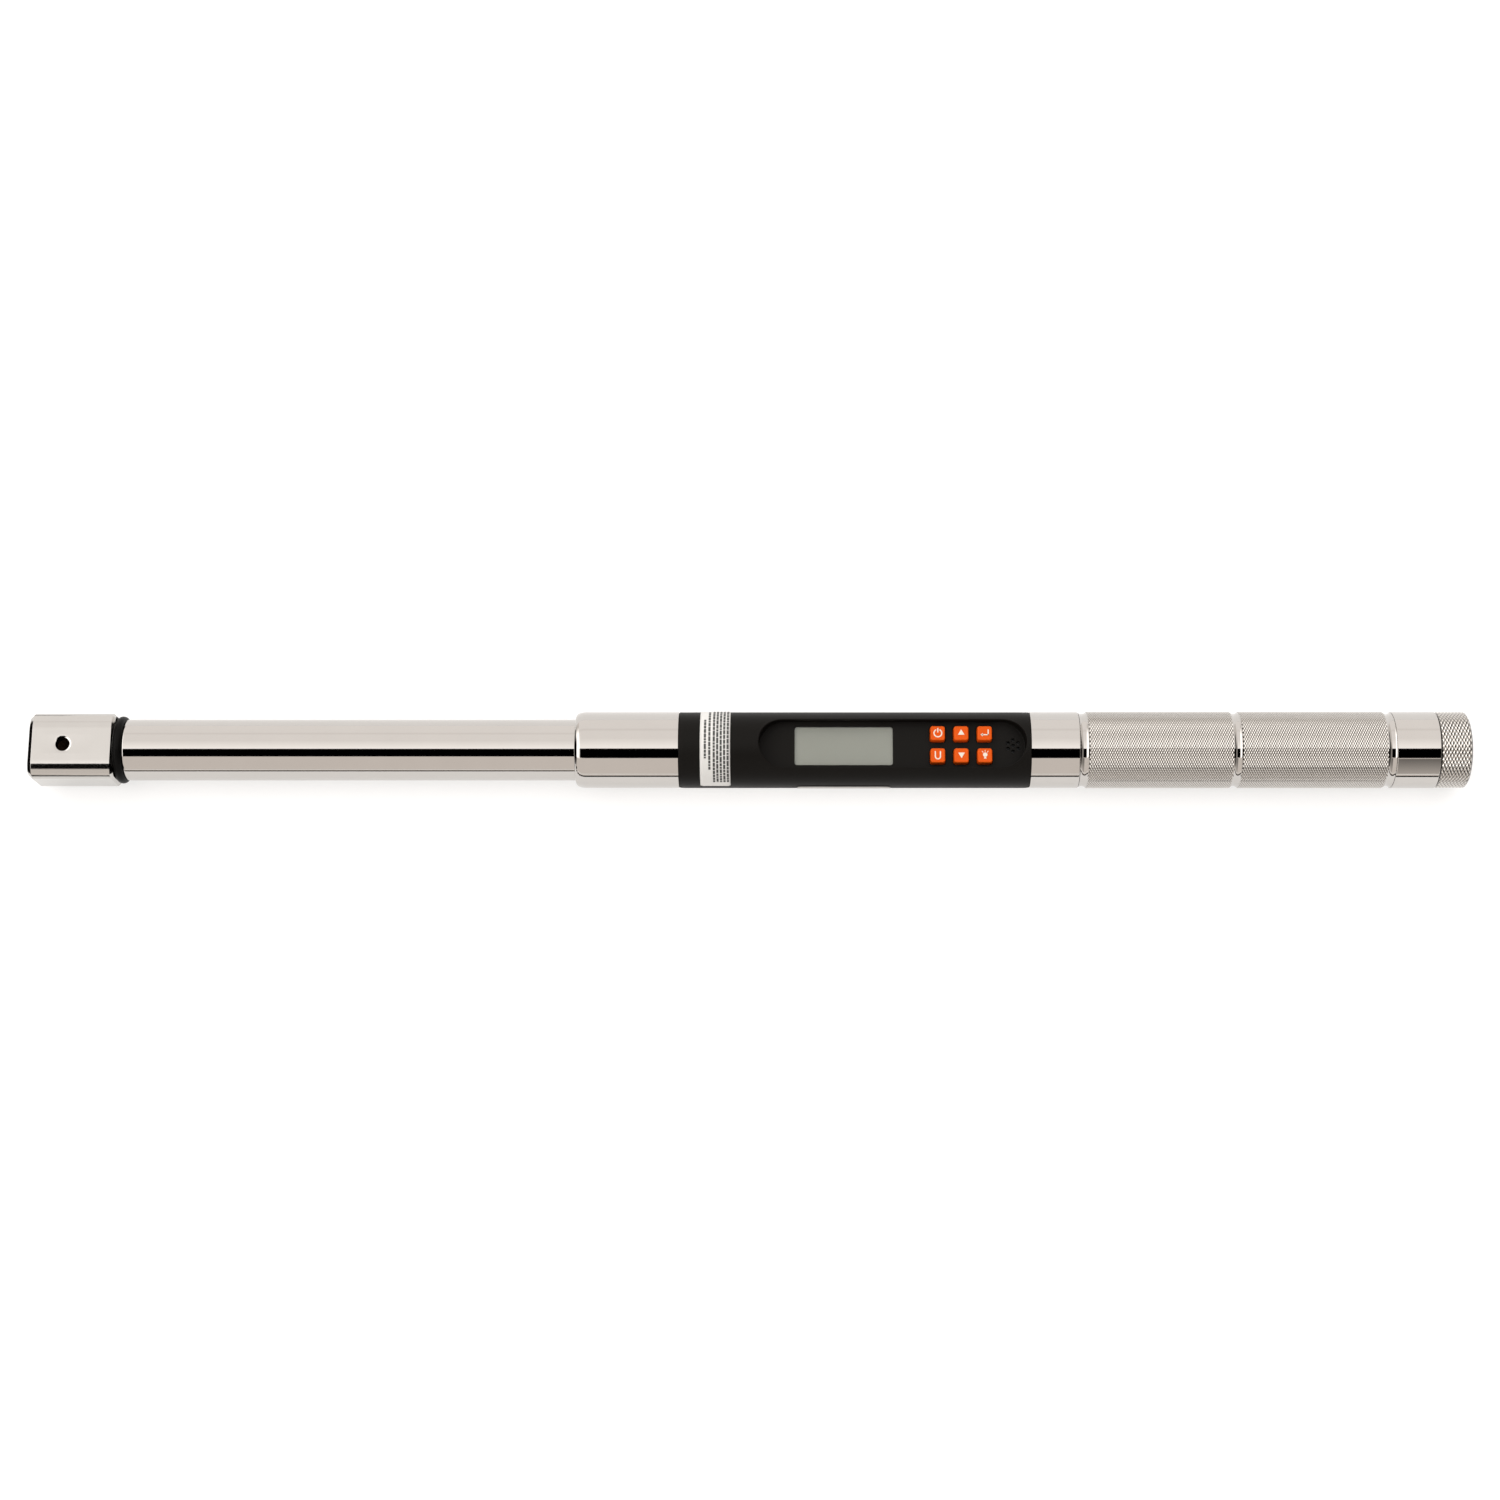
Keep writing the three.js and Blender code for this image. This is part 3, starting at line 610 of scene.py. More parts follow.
def socket_cutter():
    """The socket's space, with a lead-in that widens towards the tip and a millimetre beyond it."""
    width, height = SOCKET
    growth, lead = SOCKET_LEAD
    outline = rounded_rectangle(width, height, SOCKET_CORNER)
    rings = []
    for grow, depth in ((growth, -MM), (0.0, lead), (0.0, SOCKET_DEPTH)):
        wide = 1 + grow / width
        tall = 1 + grow / height
        rings.append([(head_tip + depth, a * wide, AXIS_Z + b * tall) for a, b in outline])
    sheets = Sheets()
    sheets.loft(rings, start=(head_tip - MM, 0, AXIS_Z), end=(head_tip + SOCKET_DEPTH, 0, AXIS_Z))
    return sheets.to_object("socket_cutter")


def catch_hole_cutter():
    """The catch hole from the axis to the front flat, chamfered at its rim."""
    inset, radius, rim = CATCH_HOLE
    x = head_tip + inset
    depth = 0.4 * (rim - radius)
    top = HEAD_HALF_THICKNESS + depth
    profile = [(0.0, radius), (HEAD_HALF_THICKNESS - depth, radius), (top, 2 * rim - radius)]
    sheets = Sheets()
    sheets.loft([[up(p, z) for p in disc_outline(x, 0, r, 64)] for z, r in profile],
                start=up((x, 0), 0), end=up((x, 0), top))
    return sheets.to_object("hole_cutter")


def paint_socket_shade(head):
    """Gives every face inside the socket, and the hole's wall, the steel with painted shade."""
    head.data.materials.append(SOCKET_INSIDE)
    inset, radius, _ = CATCH_HOLE
    slack = 0.02 * MM
    for face in head.data.polygons:
        x, y, z = face.center
        depth = x - head_tip
        inside = abs(y) < SOCKET[0] / 2 + slack and abs(z - AXIS_Z) < SOCKET[1] / 2 + slack
        wall = hypot(depth - inset, y) < radius + slack and z > AXIS_Z
        if 0.5 * MM < depth < SOCKET_DEPTH + 0.1 * MM and (inside or wall):
            face.material_index = 1


def build_head():
    sheets = Sheets()
    rings = [head_ring(head_tip + depth, inset) for depth, inset in bevel_rings(HEAD_BEVEL)]
    rings += [head_ring(head_end - depth, inset) for depth, inset in reversed(bevel_rings(INNER_BEVEL))]
    sheets.loft(rings, start=(head_tip, 0, AXIS_Z), end=(head_end, 0, AXIS_Z))
    head = sheets.to_object("head_block", HEAD_CREASE)
    cut(head, socket_cutter(), catch_hole_cutter())
    shade(head, HEAD_CREASE)
    even_shading(head)
    finish_piece(head, "head_chrome", ["head_holder"])
    # painted shade inside the socket and the catch hole
    paint_socket_shade(head)


def build_neck():
    """The head's neck runs on into the tube. In the ring's shade it is as dark as the rubber."""
    start, end = head_end - 2 * MM, tube_start + 2 * MM
    sheets = Sheets()
    turned(sheets, [(start, 0), (start, NECK_RADIUS), (end, NECK_RADIUS), (end, 0)])
    finish_piece(sheets.to_object("head_neck"), "head_chrome", material=MATERIALS["black_rubber"])


def build_neck_ring():
    """A rubber ring, squeezed oval between the head and the tube."""
    above, half_width, half_height = NECK_RING
    x = (head_end + tube_start) / 2
    profile = [(x + half_width * cos(t), NECK_RADIUS + above + half_height * sin(t))
               for t in full_turn(24)]
    sheets = Sheets()
    turned(sheets, profile, closed=True)
    finish_piece(sheets.to_object("neck_ring"), "black_rubber", ["neck_oring"])


build_head()
build_neck()
build_neck_ring()


# ------------------------------ tube and barrel

TUBE_RADIUS = 13.9 * MM
TUBE_BORE = 11.4 * MM
BARREL_RADIUS = 17.3 * MM
BARREL_BORE = 15.2 * MM
BARREL_NOSE = (15.4 * MM, 4.6 * MM)      # radius of the step, length of the curve behind it
HOUSING_RADIUS = 17.15 * MM
HOUSING_BASE = -3.0 * MM
HOUSING_CORNER = 4.5 * MM
SEAT_GAP = 0.12 * MM
PIN_HOLE = 2.6 * MM
SCREW_HOLE = 1.65 * MM

barrel_start, barrel_end = x_span("barrel")
housing_start, housing_end = x_span("display_housing")


def build_tube():
    lead = 0.9 * MM
    front = [(tube_start + lead * (1 - cos(t)), TUBE_RADIUS - lead * (1 - sin(t)))
             for t in quarter_turn(6)]
    profile = [(tube_start, TUBE_BORE), *front, (tube_end, TUBE_RADIUS), (tube_end, TUBE_BORE)]
    sheets = Sheets()
    turned(sheets, profile, closed=True)
    tube = sheets.to_object("round_tube")
    cut(tube, prism(disc_outline(*centre("head_pin"), PIN_HOLE), up, -2 * TUBE_RADIUS, 0))
    shade(tube, 32)
    finish_piece(tube, "satin_chrome", ["front_tube"])


def screw_cutters():
    screws = [centre(f"housing_screw_{number}") for number in range(1, 5)]
    return [prism(disc_outline(x, y, SCREW_HOLE), up, -BARREL_RADIUS, 0.0) for x, y in screws]


def seat_cutter():
    """The space over the housing's base, right across the barrel, with the housing's round corners."""
    length = housing_end - housing_start + 2 * SEAT_GAP
    height = 40 * MM
    reach = 30 * MM
    middle = (housing_start + housing_end) / 2, HOUSING_BASE - SEAT_GAP + height / 2
    outline = rounded_rectangle(length, height, HOUSING_CORNER + SEAT_GAP, middle, steps=10)

    def sideways(point, distance):
        return point[0], distance, AXIS_Z + point[1]

    return prism(outline, sideways, -reach, reach)


def build_barrel():
    step, length = BARREL_NOSE
    nose = [(barrel_start + length * (1 - cos(t)), step + (BARREL_RADIUS - step) * sin(t))
            for t in quarter_turn(8)]
    edge = 0.45 * MM
    back = [(barrel_end - edge * (1 - sin(t)), BARREL_RADIUS - edge * (1 - cos(t)))
            for t in quarter_turn(5)]
    bore_step = tube_end + 3 * MM
    front_bore = TUBE_RADIUS + 0.05 * MM
    inside = [(barrel_end, BARREL_BORE), (bore_step, BARREL_BORE), (bore_step, front_bore),
              (barrel_start, front_bore)]
    sheets = Sheets()
    turned(sheets, [*nose, *back, *inside], closed=True)
    barrel = sheets.to_object("barrel_shell")
    cut(barrel, seat_cutter(), *screw_cutters())
    shade(barrel, 32)
    finish_piece(barrel, "satin_chrome", ["barrel"])


build_tube()
build_barrel()


# ------------------------------ display housing

RECESS = (4.4 * MM, 124.8 * MM)
RECESS_HALF = 11.0 * MM
RECESS_FLOOR = 7.9 * MM
FLOOR_PLATE = (1.5 * MM, 0.12 * MM)      # thickness, and radius of its edges
WINDOW_CORNER = 1.2 * MM
WINDOW_GAP = 0.1 * MM
WINDOW_PANE = (0.9 * MM, 0.15 * MM)      # thickness, and radius of its edges
SOUND_RING = 2.65 * MM
SOUND_HOLE = 0.85 * MM
LIP = (0.55 * MM, 0.5 * MM)      # the recess's rounded rim: its width, and its depth below the skin
RECESS_FOOT = 0.5 * MM           # radius where the recess's wall meets its floor
HOUSING_EDGE = 0.4 * MM
HOUSING_WALL = 2.2 * MM


def on_housing(x, arc, depth=0.0):
    """A point on the housing's skin: arc runs round it from the top towards -Y."""
    return round_tool(x, HOUSING_RADIUS - depth, arc / HOUSING_RADIUS)


def skin_height(y):
    return sqrt(HOUSING_RADIUS ** 2 - y * y)


def stadium(half_turn_steps=56, side_steps=64):
    """Points and outward normals round the recess, in X and Y."""
    x0, x1 = RECESS[0] + RECESS_HALF, RECESS[1] - RECESS_HALF
    points = []
    for start, end, side in ((x1, x0, 1), (x0, x1, -1)):
        for i in range(side_steps):
            points.append((start + (end - start) * i / side_steps, side * RECESS_HALF, 0, side))
        for i in range(half_turn_steps):
            t = side * pi / 2 + pi * i / half_turn_steps
            c, s = cos(t), sin(t)
            points.append((end + RECESS_HALF * c, RECESS_HALF * s, c, s))
    return points


def edge_hit(x, arc, nx, na):
    """Where a ray from (x, arc) meets the housing's edge, with the edge's normal there."""
    half_length = (housing_end - housing_start) / 2
    middle = (housing_end + housing_start) / 2
    half_arc = HOUSING_RADIUS * acos(HOUSING_BASE / HOUSING_RADIUS)

    def into_corner(px, pa):
        return (abs(px - middle) - (half_length - HOUSING_CORNER),
                abs(pa) - (half_arc - HOUSING_CORNER))

    def inside(distance):
        qx, qa = into_corner(x + nx * distance, arc + na * distance)
        if qx > 0 and qa > 0:
            return hypot(qx, qa) <= HOUSING_CORNER
        return max(qx, qa) <= HOUSING_CORNER

    reach = farthest(inside, 0.4)
    px, pa = x + nx * reach, arc + na * reach
    qx, qa = into_corner(px, pa)
    if qx <= 0 or qa <= 0:
        qx, qa = (1, 0) if qx > qa else (0, 1)
    size = hypot(qx, qa)
    return px, pa, (copysign(qx / size, px - middle), copysign(qa / size, pa))


def recess_rings(outline):
    """From the recess's floor, round its foot, up its wall and over its rounded rim to the skin."""
    lip, drop = LIP
    rings = []
    for step in range(5):
        rings.append([bezier(up((x - nx * RECESS_FOOT, y - ny * RECESS_FOOT), RECESS_FLOOR),
                             up((x, y), RECESS_FLOOR), up((x, y), RECESS_FLOOR + RECESS_FOOT), step / 4)
                      for x, y, nx, ny in outline])
    foot = RECESS_FLOOR + RECESS_FOOT
    rings.append([up((x, y), foot + (skin_height(y) - drop - foot) / 2) for x, y, _, _ in outline])
    for step in range(7):
        ring = []
        for x, y, nx, ny in outline:
            sx, sy = x + nx * lip, y + ny * lip
            ring.append(bezier(up((x, y), skin_height(y) - drop), up((x, y), skin_height(y)),
                               up((sx, sy), skin_height(sy)), step / 6))
        rings.append(ring)
    return rings


def build_housing_skin():
    """Skins the recess, the round outside along spokes from rim to edge, and the edge."""
    lip, _ = LIP
    outline = stadium()
    rings = recess_rings(outline)
    spokes = []
    for x, y, nx, ny in outline:
        sx, sy = x + nx * lip, y + ny * lip
        arc = -HOUSING_RADIUS * asin(sy / HOUSING_RADIUS)
        px, pa, (mx, ma) = edge_hit(sx, arc, nx, -ny)
        spokes.append(((sx, arc), (px - mx * HOUSING_EDGE, pa - ma * HOUSING_EDGE), (px, pa)))
    steps = 16
    for i in range(1, steps + 1):
        t = i / steps
        rings.append([on_housing(sx + (ex - sx) * t, arc + (ea - arc) * t)
                      for (sx, arc), (ex, ea), _ in spokes])
    for t in (0.33, 0.67, 1.0):
        rings.append([bezier(on_housing(*before), on_housing(*edge), on_housing(*edge, HOUSING_EDGE), t)
                      for _, before, edge in spokes])
    rings.append([on_housing(*edge, HOUSING_WALL) for _, _, edge in spokes])
    sheets = Sheets()
    sheets.loft(rings)
    finish_piece(sheets.to_object("housing_skin", crease=40), "black_plastic", ["display_housing"])


def sound_holes():
    """One hole over the buzzer's middle and six round it."""
    x, _ = centre("buzzer")
    return [(x, 0.0), *((x + SOUND_RING * sin(t), SOUND_RING * cos(t)) for t in full_turn(6))]


def plate_with_holes(name, outer, holes, top, thickness, bevel):
    """A flat plate with softened edges, made by filling a curve."""
    curve = bpy.data.curves.new(name, "CURVE")
    curve.dimensions = "2D"
    curve.fill_mode = "BOTH"
    for outline in [outer, *holes]:
        spline = curve.splines.new("POLY")
        spline.points.add(len(outline) - 1)
        for point, (x, y) in zip(spline.points, outline):
            point.co = (x, y, 0, 1)
        spline.use_cyclic_u = True
    curve.extrude = thickness / 2 - bevel
    curve.bevel_depth = bevel
    curve.bevel_resolution = 2
    curve.offset = -bevel
    holder = add_object(name, curve)
    bpy.context.view_layer.update()
    mesh = evaluated_mesh(holder)
    bpy.data.objects.remove(holder)
    mesh.transform(Matrix.Translation((0, 0, AXIS_Z + top - thickness / 2)))
    obj = add_object(name, mesh)
    shade(obj, 30)
    return obj


def node_rectangle(node, grow):
    """A node's outline from above, its corners rounded, a little larger all round."""
    low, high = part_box(node)
    length, width = high.x - low.x + 2 * grow, high.y - low.y + 2 * grow
    return rounded_rectangle(length, width, WINDOW_CORNER, centre(node))


KEYS = ["key_power", "key_up", "key_enter", "key_units", "key_down", "key_light"]
KEY_SIZE = 7.0 * MM
KEY_CORNER = 1.2 * MM
KEY_TOP = 11.3 * MM
KEY_GAP = 0.15 * MM


def build_recess_floor():
    outer = [(x, y) for x, y, _, _ in stadium(40, 2)]
    holes = [node_rectangle("display_lens", WINDOW_GAP)]
    opening = KEY_SIZE + 2 * KEY_GAP
    holes += [rounded_rectangle(opening, opening, KEY_CORNER, centre(node)) for node in KEYS]
    holes += [disc_outline(x, y, SOUND_HOLE, 24) for x, y in sound_holes()]
    floor = plate_with_holes("recess_floor", outer, holes, RECESS_FLOOR + 0.01 * MM, *FLOOR_PLATE)
    finish_piece(floor, "black_plastic")


build_housing_skin()
build_recess_floor()


# ------------------------------ labels

LABEL_RADIUS = 17.32 * MM
PLATE_RADIUS = 17.42 * MM
DASH_WIDTH = 1.0 * MM
DASH_COLUMNS = [(2.3 * MM, -38, 26), (4.3 * MM, -66, 44)]       # inset from the label's edge, start, end
DASH_COLUMNS += [((6.3 + 1.55 * i) * MM, -80, 70) for i in range(5)]


def build_film(name, node, radius, start, end, corner, slot):
    """A thin film round the tool between two angles, measured from the top towards -Y, with round corners."""
    x0, x1 = x_span(node)
    arc0, arc1 = radius * radians(start), radius * radians(end)
    steps = 60
    rows = []
    for i in range(steps + 1):
        arc = arc0 + (arc1 - arc0) * i / steps
        from_end = min(arc - arc0, arc1 - arc)
        inset = 0.0
        if from_end < corner:
            inset = corner - sqrt(max(corner ** 2 - (corner - from_end) ** 2, 0))
        width = x1 - x0 - 2 * inset
        rows.append([round_tool(x0 + inset + width * k / 8, radius, arc / radius) for k in range(9)])
    sheets = Sheets()
    sheets.strip(rows)
    film = sheets.to_object(name)
    thicken = film.modifiers.new("thickness", "SOLIDIFY")
    thicken.thickness = 0.12 * MM
    thicken.offset = 0
    finish_piece(film, slot, [node])


def printed_dash(sheets, x, start, end):
    steps = max(2, int((end - start) / 2))
    rows = []
    for i in range(steps + 1):
        turn = radians(start + (end - start) * i / steps)
        rows.append([round_tool(px, LABEL_RADIUS + 0.075 * MM, turn)
                     for px in (x - DASH_WIDTH / 2, x + DASH_WIDTH / 2)])
    sheets.strip(rows)


def build_dashes():
    """Rows of plain dashes of uneven length, which stand in for print without saying anything."""
    label_start, _ = x_span("front_label")
    dice = random.Random(3)
    sheets = Sheets()
    for inset, start, end in DASH_COLUMNS:
        angle = start
        while angle < end:
            length = dice.uniform(3.0, 9.0)
            printed_dash(sheets, label_start + inset, angle, min(angle + length, end))
            angle += length + 0.9
    finish_piece(sheets.to_object("label_dashes"), "label_white", material=LABEL_INK)


build_film("label_film", "front_label", LABEL_RADIUS, -83, 83, 1.0 * MM, "label_white")
build_film("side_plate", "rating_plate", PLATE_RADIUS, 86, 135, 1.6 * MM, "label_silver")
build_dashes()


# ------------------------------ keys and display

def build_key(node):
    """A drafted key with a rounded rim and a slightly hollow top."""
    middle = centre(node)
    low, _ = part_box(node)
    base = low.z - AXIS_Z + 1.2 * MM
    edge = 0.55 * MM
    levels = [(base, 0.0), (KEY_TOP - 1.6 * MM, 0.12 * MM)]
    levels += [(KEY_TOP - edge + edge * sin(t), edge * (1 - cos(t)) + 0.2 * MM)
               for t in quarter_turn(5)]
    levels += [(KEY_TOP - dip * MM, inset * MM) for dip, inset in ((0.02, 1.0), (0.09, 1.8), (0.12, 2.6))]
    rings = []
    for height, inset in levels:
        size = KEY_SIZE - 2 * inset
        corner = max(KEY_CORNER - inset * 0.6, 0.25 * MM)
        rings.append([up(p, height) for p in rounded_rectangle(size, size, corner, middle)])
    sheets = Sheets()
    sheets.loft(rings, start=up(middle, base), end=up(middle, KEY_TOP - 0.13 * MM))
    finish_piece(sheets.to_object(f"{node}_cap", crease=50), "orange_key", [node], body=node)


class Symbol:
    """A flat printed symbol on a key, built from strokes in the key's own millimetres."""

    def __init__(self, node):
        self.centre = centre(node)
        self.sheets = Sheets()
        self.top = KEY_TOP + 0.015 * MM

    def shape(self, outline):
        cx, cy = self.centre
        points = [(cx + x * MM, cy + y * MM) for x, y in outline]
        self.sheets.slab([up(p, self.top - 0.16 * MM) for p in points], [up(p, self.top) for p in points])

    def stroke(self, path, width):
        """A line of constant width with round ends."""
        half = width / 2
        left, right = [], []
        for i, (x, y) in enumerate(path):
            x0, y0 = path[max(i - 1, 0)]
            x1, y1 = path[min(i + 1, len(path) - 1)]
            length = hypot(x1 - x0, y1 - y0)
            nx, ny = -(y1 - y0) / length, (x1 - x0) / length
            left.append((x + nx * half, y + ny * half))
            right.append((x - nx * half, y - ny * half))
        start = self.cap(path[1], path[0], half)
        end = self.cap(path[-2], path[-1], half)
        self.shape(left + end + list(reversed(right)) + start)

    @staticmethod
    def cap(inner, tip, half):
        heading = atan2(tip[1] - inner[1], tip[0] - inner[0])
        turns = [heading + pi / 2 - pi * i / 8 for i in range(1, 8)]
        return [(tip[0] + half * cos(t), tip[1] + half * sin(t)) for t in turns]

    def arc(self, x, y, radius, start, end, width, steps=28):
        angles = [radians(start + (end - start) * i / steps) for i in range(steps + 1)]
        self.stroke([(x + radius * cos(a), y + radius * sin(a)) for a in angles], width)

    def done(self, name, body):
        obj = self.sheets.to_object(name, crease=30)
        finish_piece(obj, "orange_key", body=body, material=KEY_PRINT)


def draw_power(s):
    s.arc(0.1, 0.0, 1.75, 125, 415, 0.55)
    s.stroke([(0.1, 2.15), (0.1, 0.5)], 0.5)


def draw_up(s):
    s.shape([(-1.5, -0.75), (1.5, -0.75), (0.0, 1.75)])


def draw_enter(s):
    s.stroke([(1.6, 1.5), (1.6, -0.75)], 0.5)
    s.stroke([(1.6, -0.75), (-1.0, -0.75)], 0.5)
    s.shape([(-0.8, 0.05), (-1.9, -0.75), (-0.8, -1.55)])


def draw_units(s):
    bend = [(1.15 * cos(t), -0.5 + 1.15 * sin(t)) for t in (-pi * i / 10 for i in range(11))]
    s.stroke([(1.15, 1.7), *bend, (-1.15, 1.7)], 0.55)


def draw_down(s):
    s.shape([(0.05, -1.35), (1.55, 1.25), (-1.45, 1.25)])


def draw_light(s):
    s.shape(disc_outline(0.1, 0.3, 1.0, 32))
    s.shape([(-0.15, -0.6), (-0.55, -1.5), (0.75, -1.5), (0.35, -0.6)])
    for tilt in (-38, 0, 38):
        a = radians(90 + tilt)
        s.stroke([(0.1 + r * cos(a), 0.2 + r * sin(a)) for r in (1.55, 2.15)], 0.28)


DRAWINGS = dict(zip(KEYS, (draw_power, draw_up, draw_enter, draw_units, draw_down, draw_light)))


def build_keys():
    for node in KEYS:
        build_key(node)
        symbol = Symbol(node)
        DRAWINGS[node](symbol)
        symbol.done(f"{node}_symbol", node)


def build_window():
    _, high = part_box("display_lens")
    outline = node_rectangle("display_lens", 0)
    window = plate_with_holes("window_pane", outline, [], high.z - AXIS_Z + 0.1 * MM, *WINDOW_PANE)
    finish_piece(window, "clear_window", ["display_lens"])


build_keys()
build_window()


# ------------------------------ knurling, handle and cap

GRIP_RADIUS = 17.4 * MM
GRIP_GROOVE = 16.95 * MM
GROOVE_SAG = 0.5 * MM            # the grooves are hollow in profile by this much
GRIP_BORE = 13.4 * MM
SPIGOT_RADIUS = 15.1 * MM
KNURL_BANDS = [(152.5 * MM, 218.2 * MM), (221.4 * MM, 287.5 * MM)]
GRIP_KNURL = (1.09 * MM, 0.27 * MM)       # pitch and depth
COLLAR_SPIGOT = 13.3 * MM
COLLAR_BORE = 11.5 * MM
CAP_KNURL = (1.55 * MM, 0.42 * MM)
CAP_GAP = 0.5 * MM
CAP_RADIUS = 17.3 * MM
CAP_EDGE = 1.3 * MM              # radius of the rounding at the cap's end
CAP_PLUG = 11.2 * MM
CAP_BORE = 8.6 * MM
CAP_RING_SEAT = 9.5 * MM
CAP_SOLID = 5.1 * MM             # how far the bore stops short of the cap's end

grip_start, grip_end = x_span("handle_grip")
collar_start, collar_end = x_span("handle_collar")
plug_start, cap_end = x_span("end_cap")
cap_front = collar_end + CAP_GAP


def knurled_band(name, body, x0, x1, knurl, limit):
    """A band of diamond pyramids, rolled into a surface whose radius at each x is limit(x)."""
    pitch, depth = knurl
    root = limit((x0 + x1) / 2) - depth
    around = 2 * round(pi * limit((x0 + x1) / 2) / pitch)
    along = 2 * round((x1 - x0) / pitch)
    step = (x1 - x0) / along
    sheets = Sheets()
    heights = []
    rings = []
    for i in range(along + 1):
        x = x0 + step * i
        ring = []
        for k in range(around):
            radius = min(limit(x), root + (depth if (i + k) % 2 == 0 else 0.0))
            heights.append((radius - root) / depth)
            t = 2 * pi * k / around
            ring.append((x, radius * cos(t), AXIS_Z + radius * sin(t)))
        rings.append(sheets.ring(ring))
    for i, (a, b) in enumerate(zip(rings, rings[1:])):
        for k in range(around):
            j = (k + 1) % around
            if (i + k) % 2 == 0:
                sheets.faces += [(a[k], a[j], b[k]), (a[j], b[j], b[k])]
            else:
                sheets.faces += [(a[k], a[j], b[j]), (a[k], b[j], b[k])]
    band = sheets.to_object(name, crease=12)
    attribute = band.data.attributes.new("point_height", "FLOAT", "POINT")
    attribute.data.foreach_set("value", heights)
    finish_piece(band, "satin_chrome", body=body, material=KNURLED)


def groove(x0, x1, steps=8):
    """The hollow profile of a polished groove between two bands."""
    return [(x0 + (x1 - x0) * t, GRIP_GROOVE - GROOVE_SAG * 4 * t * (1 - t))
            for t in (i / steps for i in range(steps + 1))]


def build_grip():
    root = GRIP_RADIUS - GRIP_KNURL[1] - 0.04 * MM
    (a0, a1), (b0, b1) = KNURL_BANDS
    neck = barrel_end + 0.15 * MM
    profile = [
        (grip_start, GRIP_BORE), (grip_start, SPIGOT_RADIUS), (neck, SPIGOT_RADIUS),
        *groove(neck, a0), (a0, root), (a1, root),
        *groove(a1, b0), (b0, root), (b1, root),
        *groove(b1, grip_end), (grip_end, GRIP_BORE),
    ]
    sheets = Sheets()
    turned(sheets, profile, closed=True)
    finish_piece(sheets.to_object("grip_core", crease=40), "satin_chrome", ["handle_grip"])
    for name, (x0, x1) in zip(("knurl_front", "knurl_rear"), KNURL_BANDS):
        lead = 0.5 * MM

        def limit(x):
            """The band's outer surface: a cylinder with a small chamfer at each end."""
            return GRIP_RADIUS - max(0.0, lead - (x - x0), lead - (x1 - x))

        knurled_band(name, "frame", x0, x1, GRIP_KNURL, limit)


def build_collar():
    """The smooth collar, in one with the spigot that plugs into the grip."""
    visible = grip_end + 0.1 * MM
    middle = (collar_start + collar_end) / 2
    profile = [
        (middle, COLLAR_BORE), (collar_start, COLLAR_BORE), (collar_start, COLLAR_SPIGOT),
        (visible, COLLAR_SPIGOT), (visible, GRIP_RADIUS), (collar_end, GRIP_RADIUS),
        (collar_end, COLLAR_BORE), (middle, COLLAR_BORE),
    ]
    sheets = Sheets()
    turned(sheets, rounded_profile(profile, 0.3 * MM)[:-1], closed=True)
    finish_piece(sheets.to_object("collar_shell"), "satin_chrome", ["handle_collar"])


def cap_limit(x):
    """The cap's outer surface before it is knurled: chamfered in front and rounded at its end."""
    lead = 0.45 * MM
    into = x - (cap_end - CAP_EDGE)
    if into > 0:
        return CAP_RADIUS - CAP_EDGE + sqrt(max(CAP_EDGE ** 2 - into ** 2, 0))
    return CAP_RADIUS - max(0.0, cap_front + lead - x) * 0.7


def build_cap():
    """The cap's body: a bored plug with a seat for its ring, a flange and a slightly sunk end face."""
    seat_start, seat_end = x_span("cap_oring")
    seat_start -= 0.2 * MM
    seat_end += 0.2 * MM
    root = CAP_RADIUS - CAP_KNURL[1] - 0.04 * MM
    bore_end = cap_end - CAP_SOLID
    face = CAP_RADIUS - CAP_EDGE
    sunk = cap_end - 0.3 * MM
    profile = [
        (bore_end, 0), (bore_end, CAP_BORE), (plug_start, CAP_BORE), (plug_start, CAP_PLUG),
        (seat_start, CAP_PLUG), (seat_start, CAP_RING_SEAT), (seat_end, CAP_RING_SEAT), (seat_end, CAP_PLUG),
        (cap_front, CAP_PLUG), (cap_front, root), (cap_end - CAP_EDGE, root),
        (cap_end - 0.35 * CAP_EDGE, face + 0.4 * MM), (cap_end, face - 0.2 * MM), (cap_end, face - 1.2 * MM),
        (cap_end - 0.25 * MM, face - 1.5 * MM), (sunk, face - 3 * MM), (sunk, 0),
    ]
    sheets = Sheets()
    turned(sheets, rounded_profile(profile, 0.15 * MM, 3))
    finish_piece(sheets.to_object("cap_shell"), "satin_chrome", ["end_cap"], body="cap")
    knurled_band("cap_knurl", "cap", cap_front, cap_end, CAP_KNURL, cap_limit)


build_grip()
build_collar()
build_cap()


# ------------------------------ studio

TENT_STRENGTH = 1.75
NEAR_PANEL = (0.565, 0.523, 0.487)


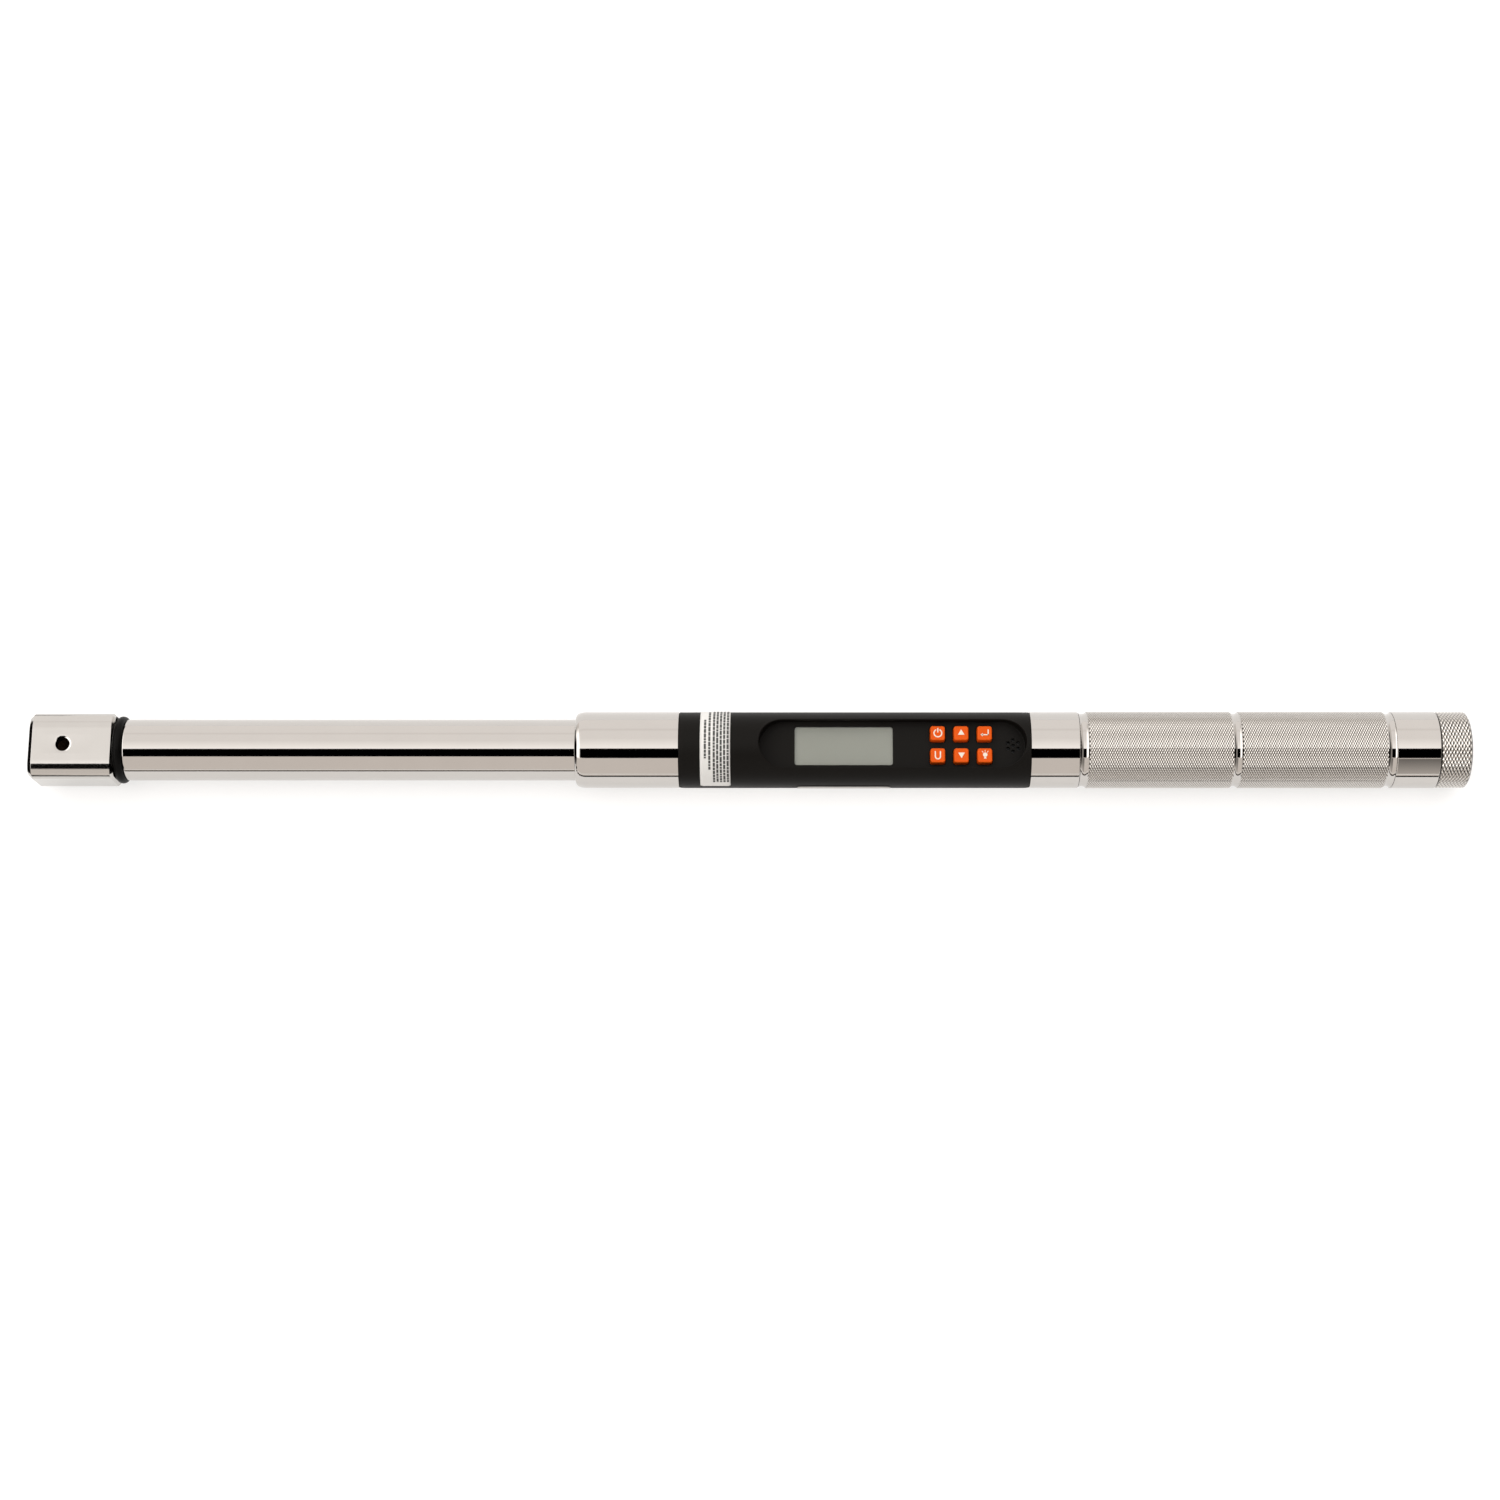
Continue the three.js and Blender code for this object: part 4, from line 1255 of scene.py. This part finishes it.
def studio_world():
    """A light tent seen from the tool: angles are measured round its axis from straight up towards +Y.

    A large soft panel hangs over the far side, a dimmer one stands on the near side, and the camera looks
    through the dark slot between them. Past the ends of the tool the tent is black.
    """
    world = bpy.data.worlds.new("studio")
    world.use_nodes = True
    n = Nodes("studio", world.node_tree)
    direction = n.add("ShaderNodeTexCoord").outputs["Generated"]
    parts = n.add("ShaderNodeSeparateXYZ")
    n.link(direction, parts.inputs["Vector"])
    x, y, z = parts.outputs
    turn = n.between(n.maths("ARCTAN2", y, z), 0.0, 1.0, radians(-100), radians(100))
    along = n.maths("ABSOLUTE", x)

    def round_axis(*stops):
        """Colours at angles round the tool's axis."""
        return n.ramp(turn, [((degrees + 100) / 200, colour) for degrees, colour in stops])

    def fade(place, start, end, before, after):
        return n.mix(n.between(place, 0.0, 1.0, start, end, smooth=True), before, after)

    far, edge, seam = (0.735, 0.705, 0.683), (0.96, 0.93, 0.905), (0.665, 0.635, 0.612)
    near, black, glow = NEAR_PANEL, (0.0, 0.0, 0.0), (1.55, 1.51, 1.47)
    dim, dusk = (0.22, 0.205, 0.19), (0.55, 0.52, 0.49)
    middle = round_axis((-100, near), (-38.2, near), (-37.8, black), (-9.2, black), (-8.6, edge),
                        (22, far), (45, far), (51, seam), (57, far), (100, far))
    shaded = round_axis((-96, (0.75, 0.75, 0.75)), (-41, (0.25, 0.25, 0.25)), (-39, (1.0, 1.0, 1.0)))
    middle = fade(x, 0.13, 0.22, middle, n.mix(1.0, middle, shaded, blend="MULTIPLY"))
    left = round_axis((-100, near), (-42, near), (-38, glow), (40, glow), (70, dusk), (100, dusk))
    right = round_axis((-100, near), (-60, dim), (-8, dim), (20, dusk), (100, dusk))
    sides = n.mix(n.between(x, 0.0, 1.0, 0.0, 0.3), left, right)
    tent = fade(along, 0.42, 0.55, middle, sides)
    tent = fade(along, 0.76, 0.84, tent, black)
    background = world.node_tree.nodes["Background"]
    n.link(tent, background.inputs["Color"])
    background.inputs["Strength"].default_value = TENT_STRENGTH
    bpy.context.scene.world = world


def overhead_fill():
    """A wide, even light from above for everything that isn't a mirror."""
    light = bpy.data.lights.new("overhead_fill", "AREA")
    light.shape = "RECTANGLE"
    light.size = 3.0
    light.size_y = 3.0
    light.energy = 24
    lamp = add_object("overhead_fill", light)
    lamp.location = (0, 0.2, 1.6)
    lamp.visible_camera = False
    lamp.visible_glossy = False


def card(name, corners, glow=None):
    """A black or glowing card that only the polished metal sees."""
    obj = quad(name, corners)
    n = Nodes(f"{name}_paint")
    n.set(Base_Color=(0.003, 0.003, 0.003), Roughness=1.0, Specular_IOR_Level=0.0)
    if glow:
        n.set(Emission_Color=glow, Emission_Strength=TENT_STRENGTH)
    obj.data.materials.append(n.material)
    obj.visible_camera = False
    obj.visible_diffuse = False
    obj.visible_shadow = False


def build_cards():
    """One at the head's end, and three that make up the near panel's foot and the table's dark edge."""
    left, high = head_tip - 60 * MM, 60 * MM
    card("left_card", [(left, -0.3, 0.0), (left, 0.3, 0.0), (left, 0.3, high), (left, -0.3, high)])
    foot, step = -180 * MM, -128 * MM
    rise, above = 5 * MM, 0.5 * MM

    def long_card(name, start, end, glow=None):
        """A card two metres long, between two lines that are given by their Y and Z."""
        card(name, [(-1, *start), (1, *start), (1, *end), (-1, *end)], glow)

    long_card("table_edge", (foot, 0.0), (foot, rise))
    long_card("table_line", (foot, above), (step, above))
    long_card("panel_foot", (foot, rise), (foot, AXIS_Z + MM), glow=NEAR_PANEL)


def build_floor():
    """A pale table, lit a little from inside so that the tool's shadow stays faint."""
    size = 6.0
    floor = quad("studio_floor", [(-size, -size, 0), (size, -size, 0), (size, size, 0), (-size, size, 0)])
    n = Nodes("floor_white")
    patches = n.noise(2, detail=2)
    n.set(Base_Color=n.mix(patches, (0.42, 0.42, 0.42), (0.45, 0.45, 0.45)), Roughness=0.9,
          Specular_IOR_Level=0.0, Emission_Color=(1.0, 0.99, 0.98), Emission_Strength=0.62)
    floor.data.materials.append(n.material)


def build_camera():
    """The photograph's view: 13.5 degrees off the display's normal, from the side nearer the user."""
    optical_x = 21.35 * MM
    distance = 1.228
    tilt = radians(13.5)
    data = bpy.data.cameras.new("camera")
    data.sensor_width = 36
    data.lens = 64.8
    data.shift_x = -0.0309
    data.clip_end = 50
    camera = add_object("camera", data)
    camera.location = (optical_x, -distance * sin(tilt), AXIS_Z + distance * cos(tilt))
    camera.rotation_euler = (tilt, 0, 0)
    bpy.context.scene.camera = camera


studio_world()
overhead_fill()
build_cards()
build_floor()
build_camera()
bpy.context.scene.view_settings.view_transform = "Standard"
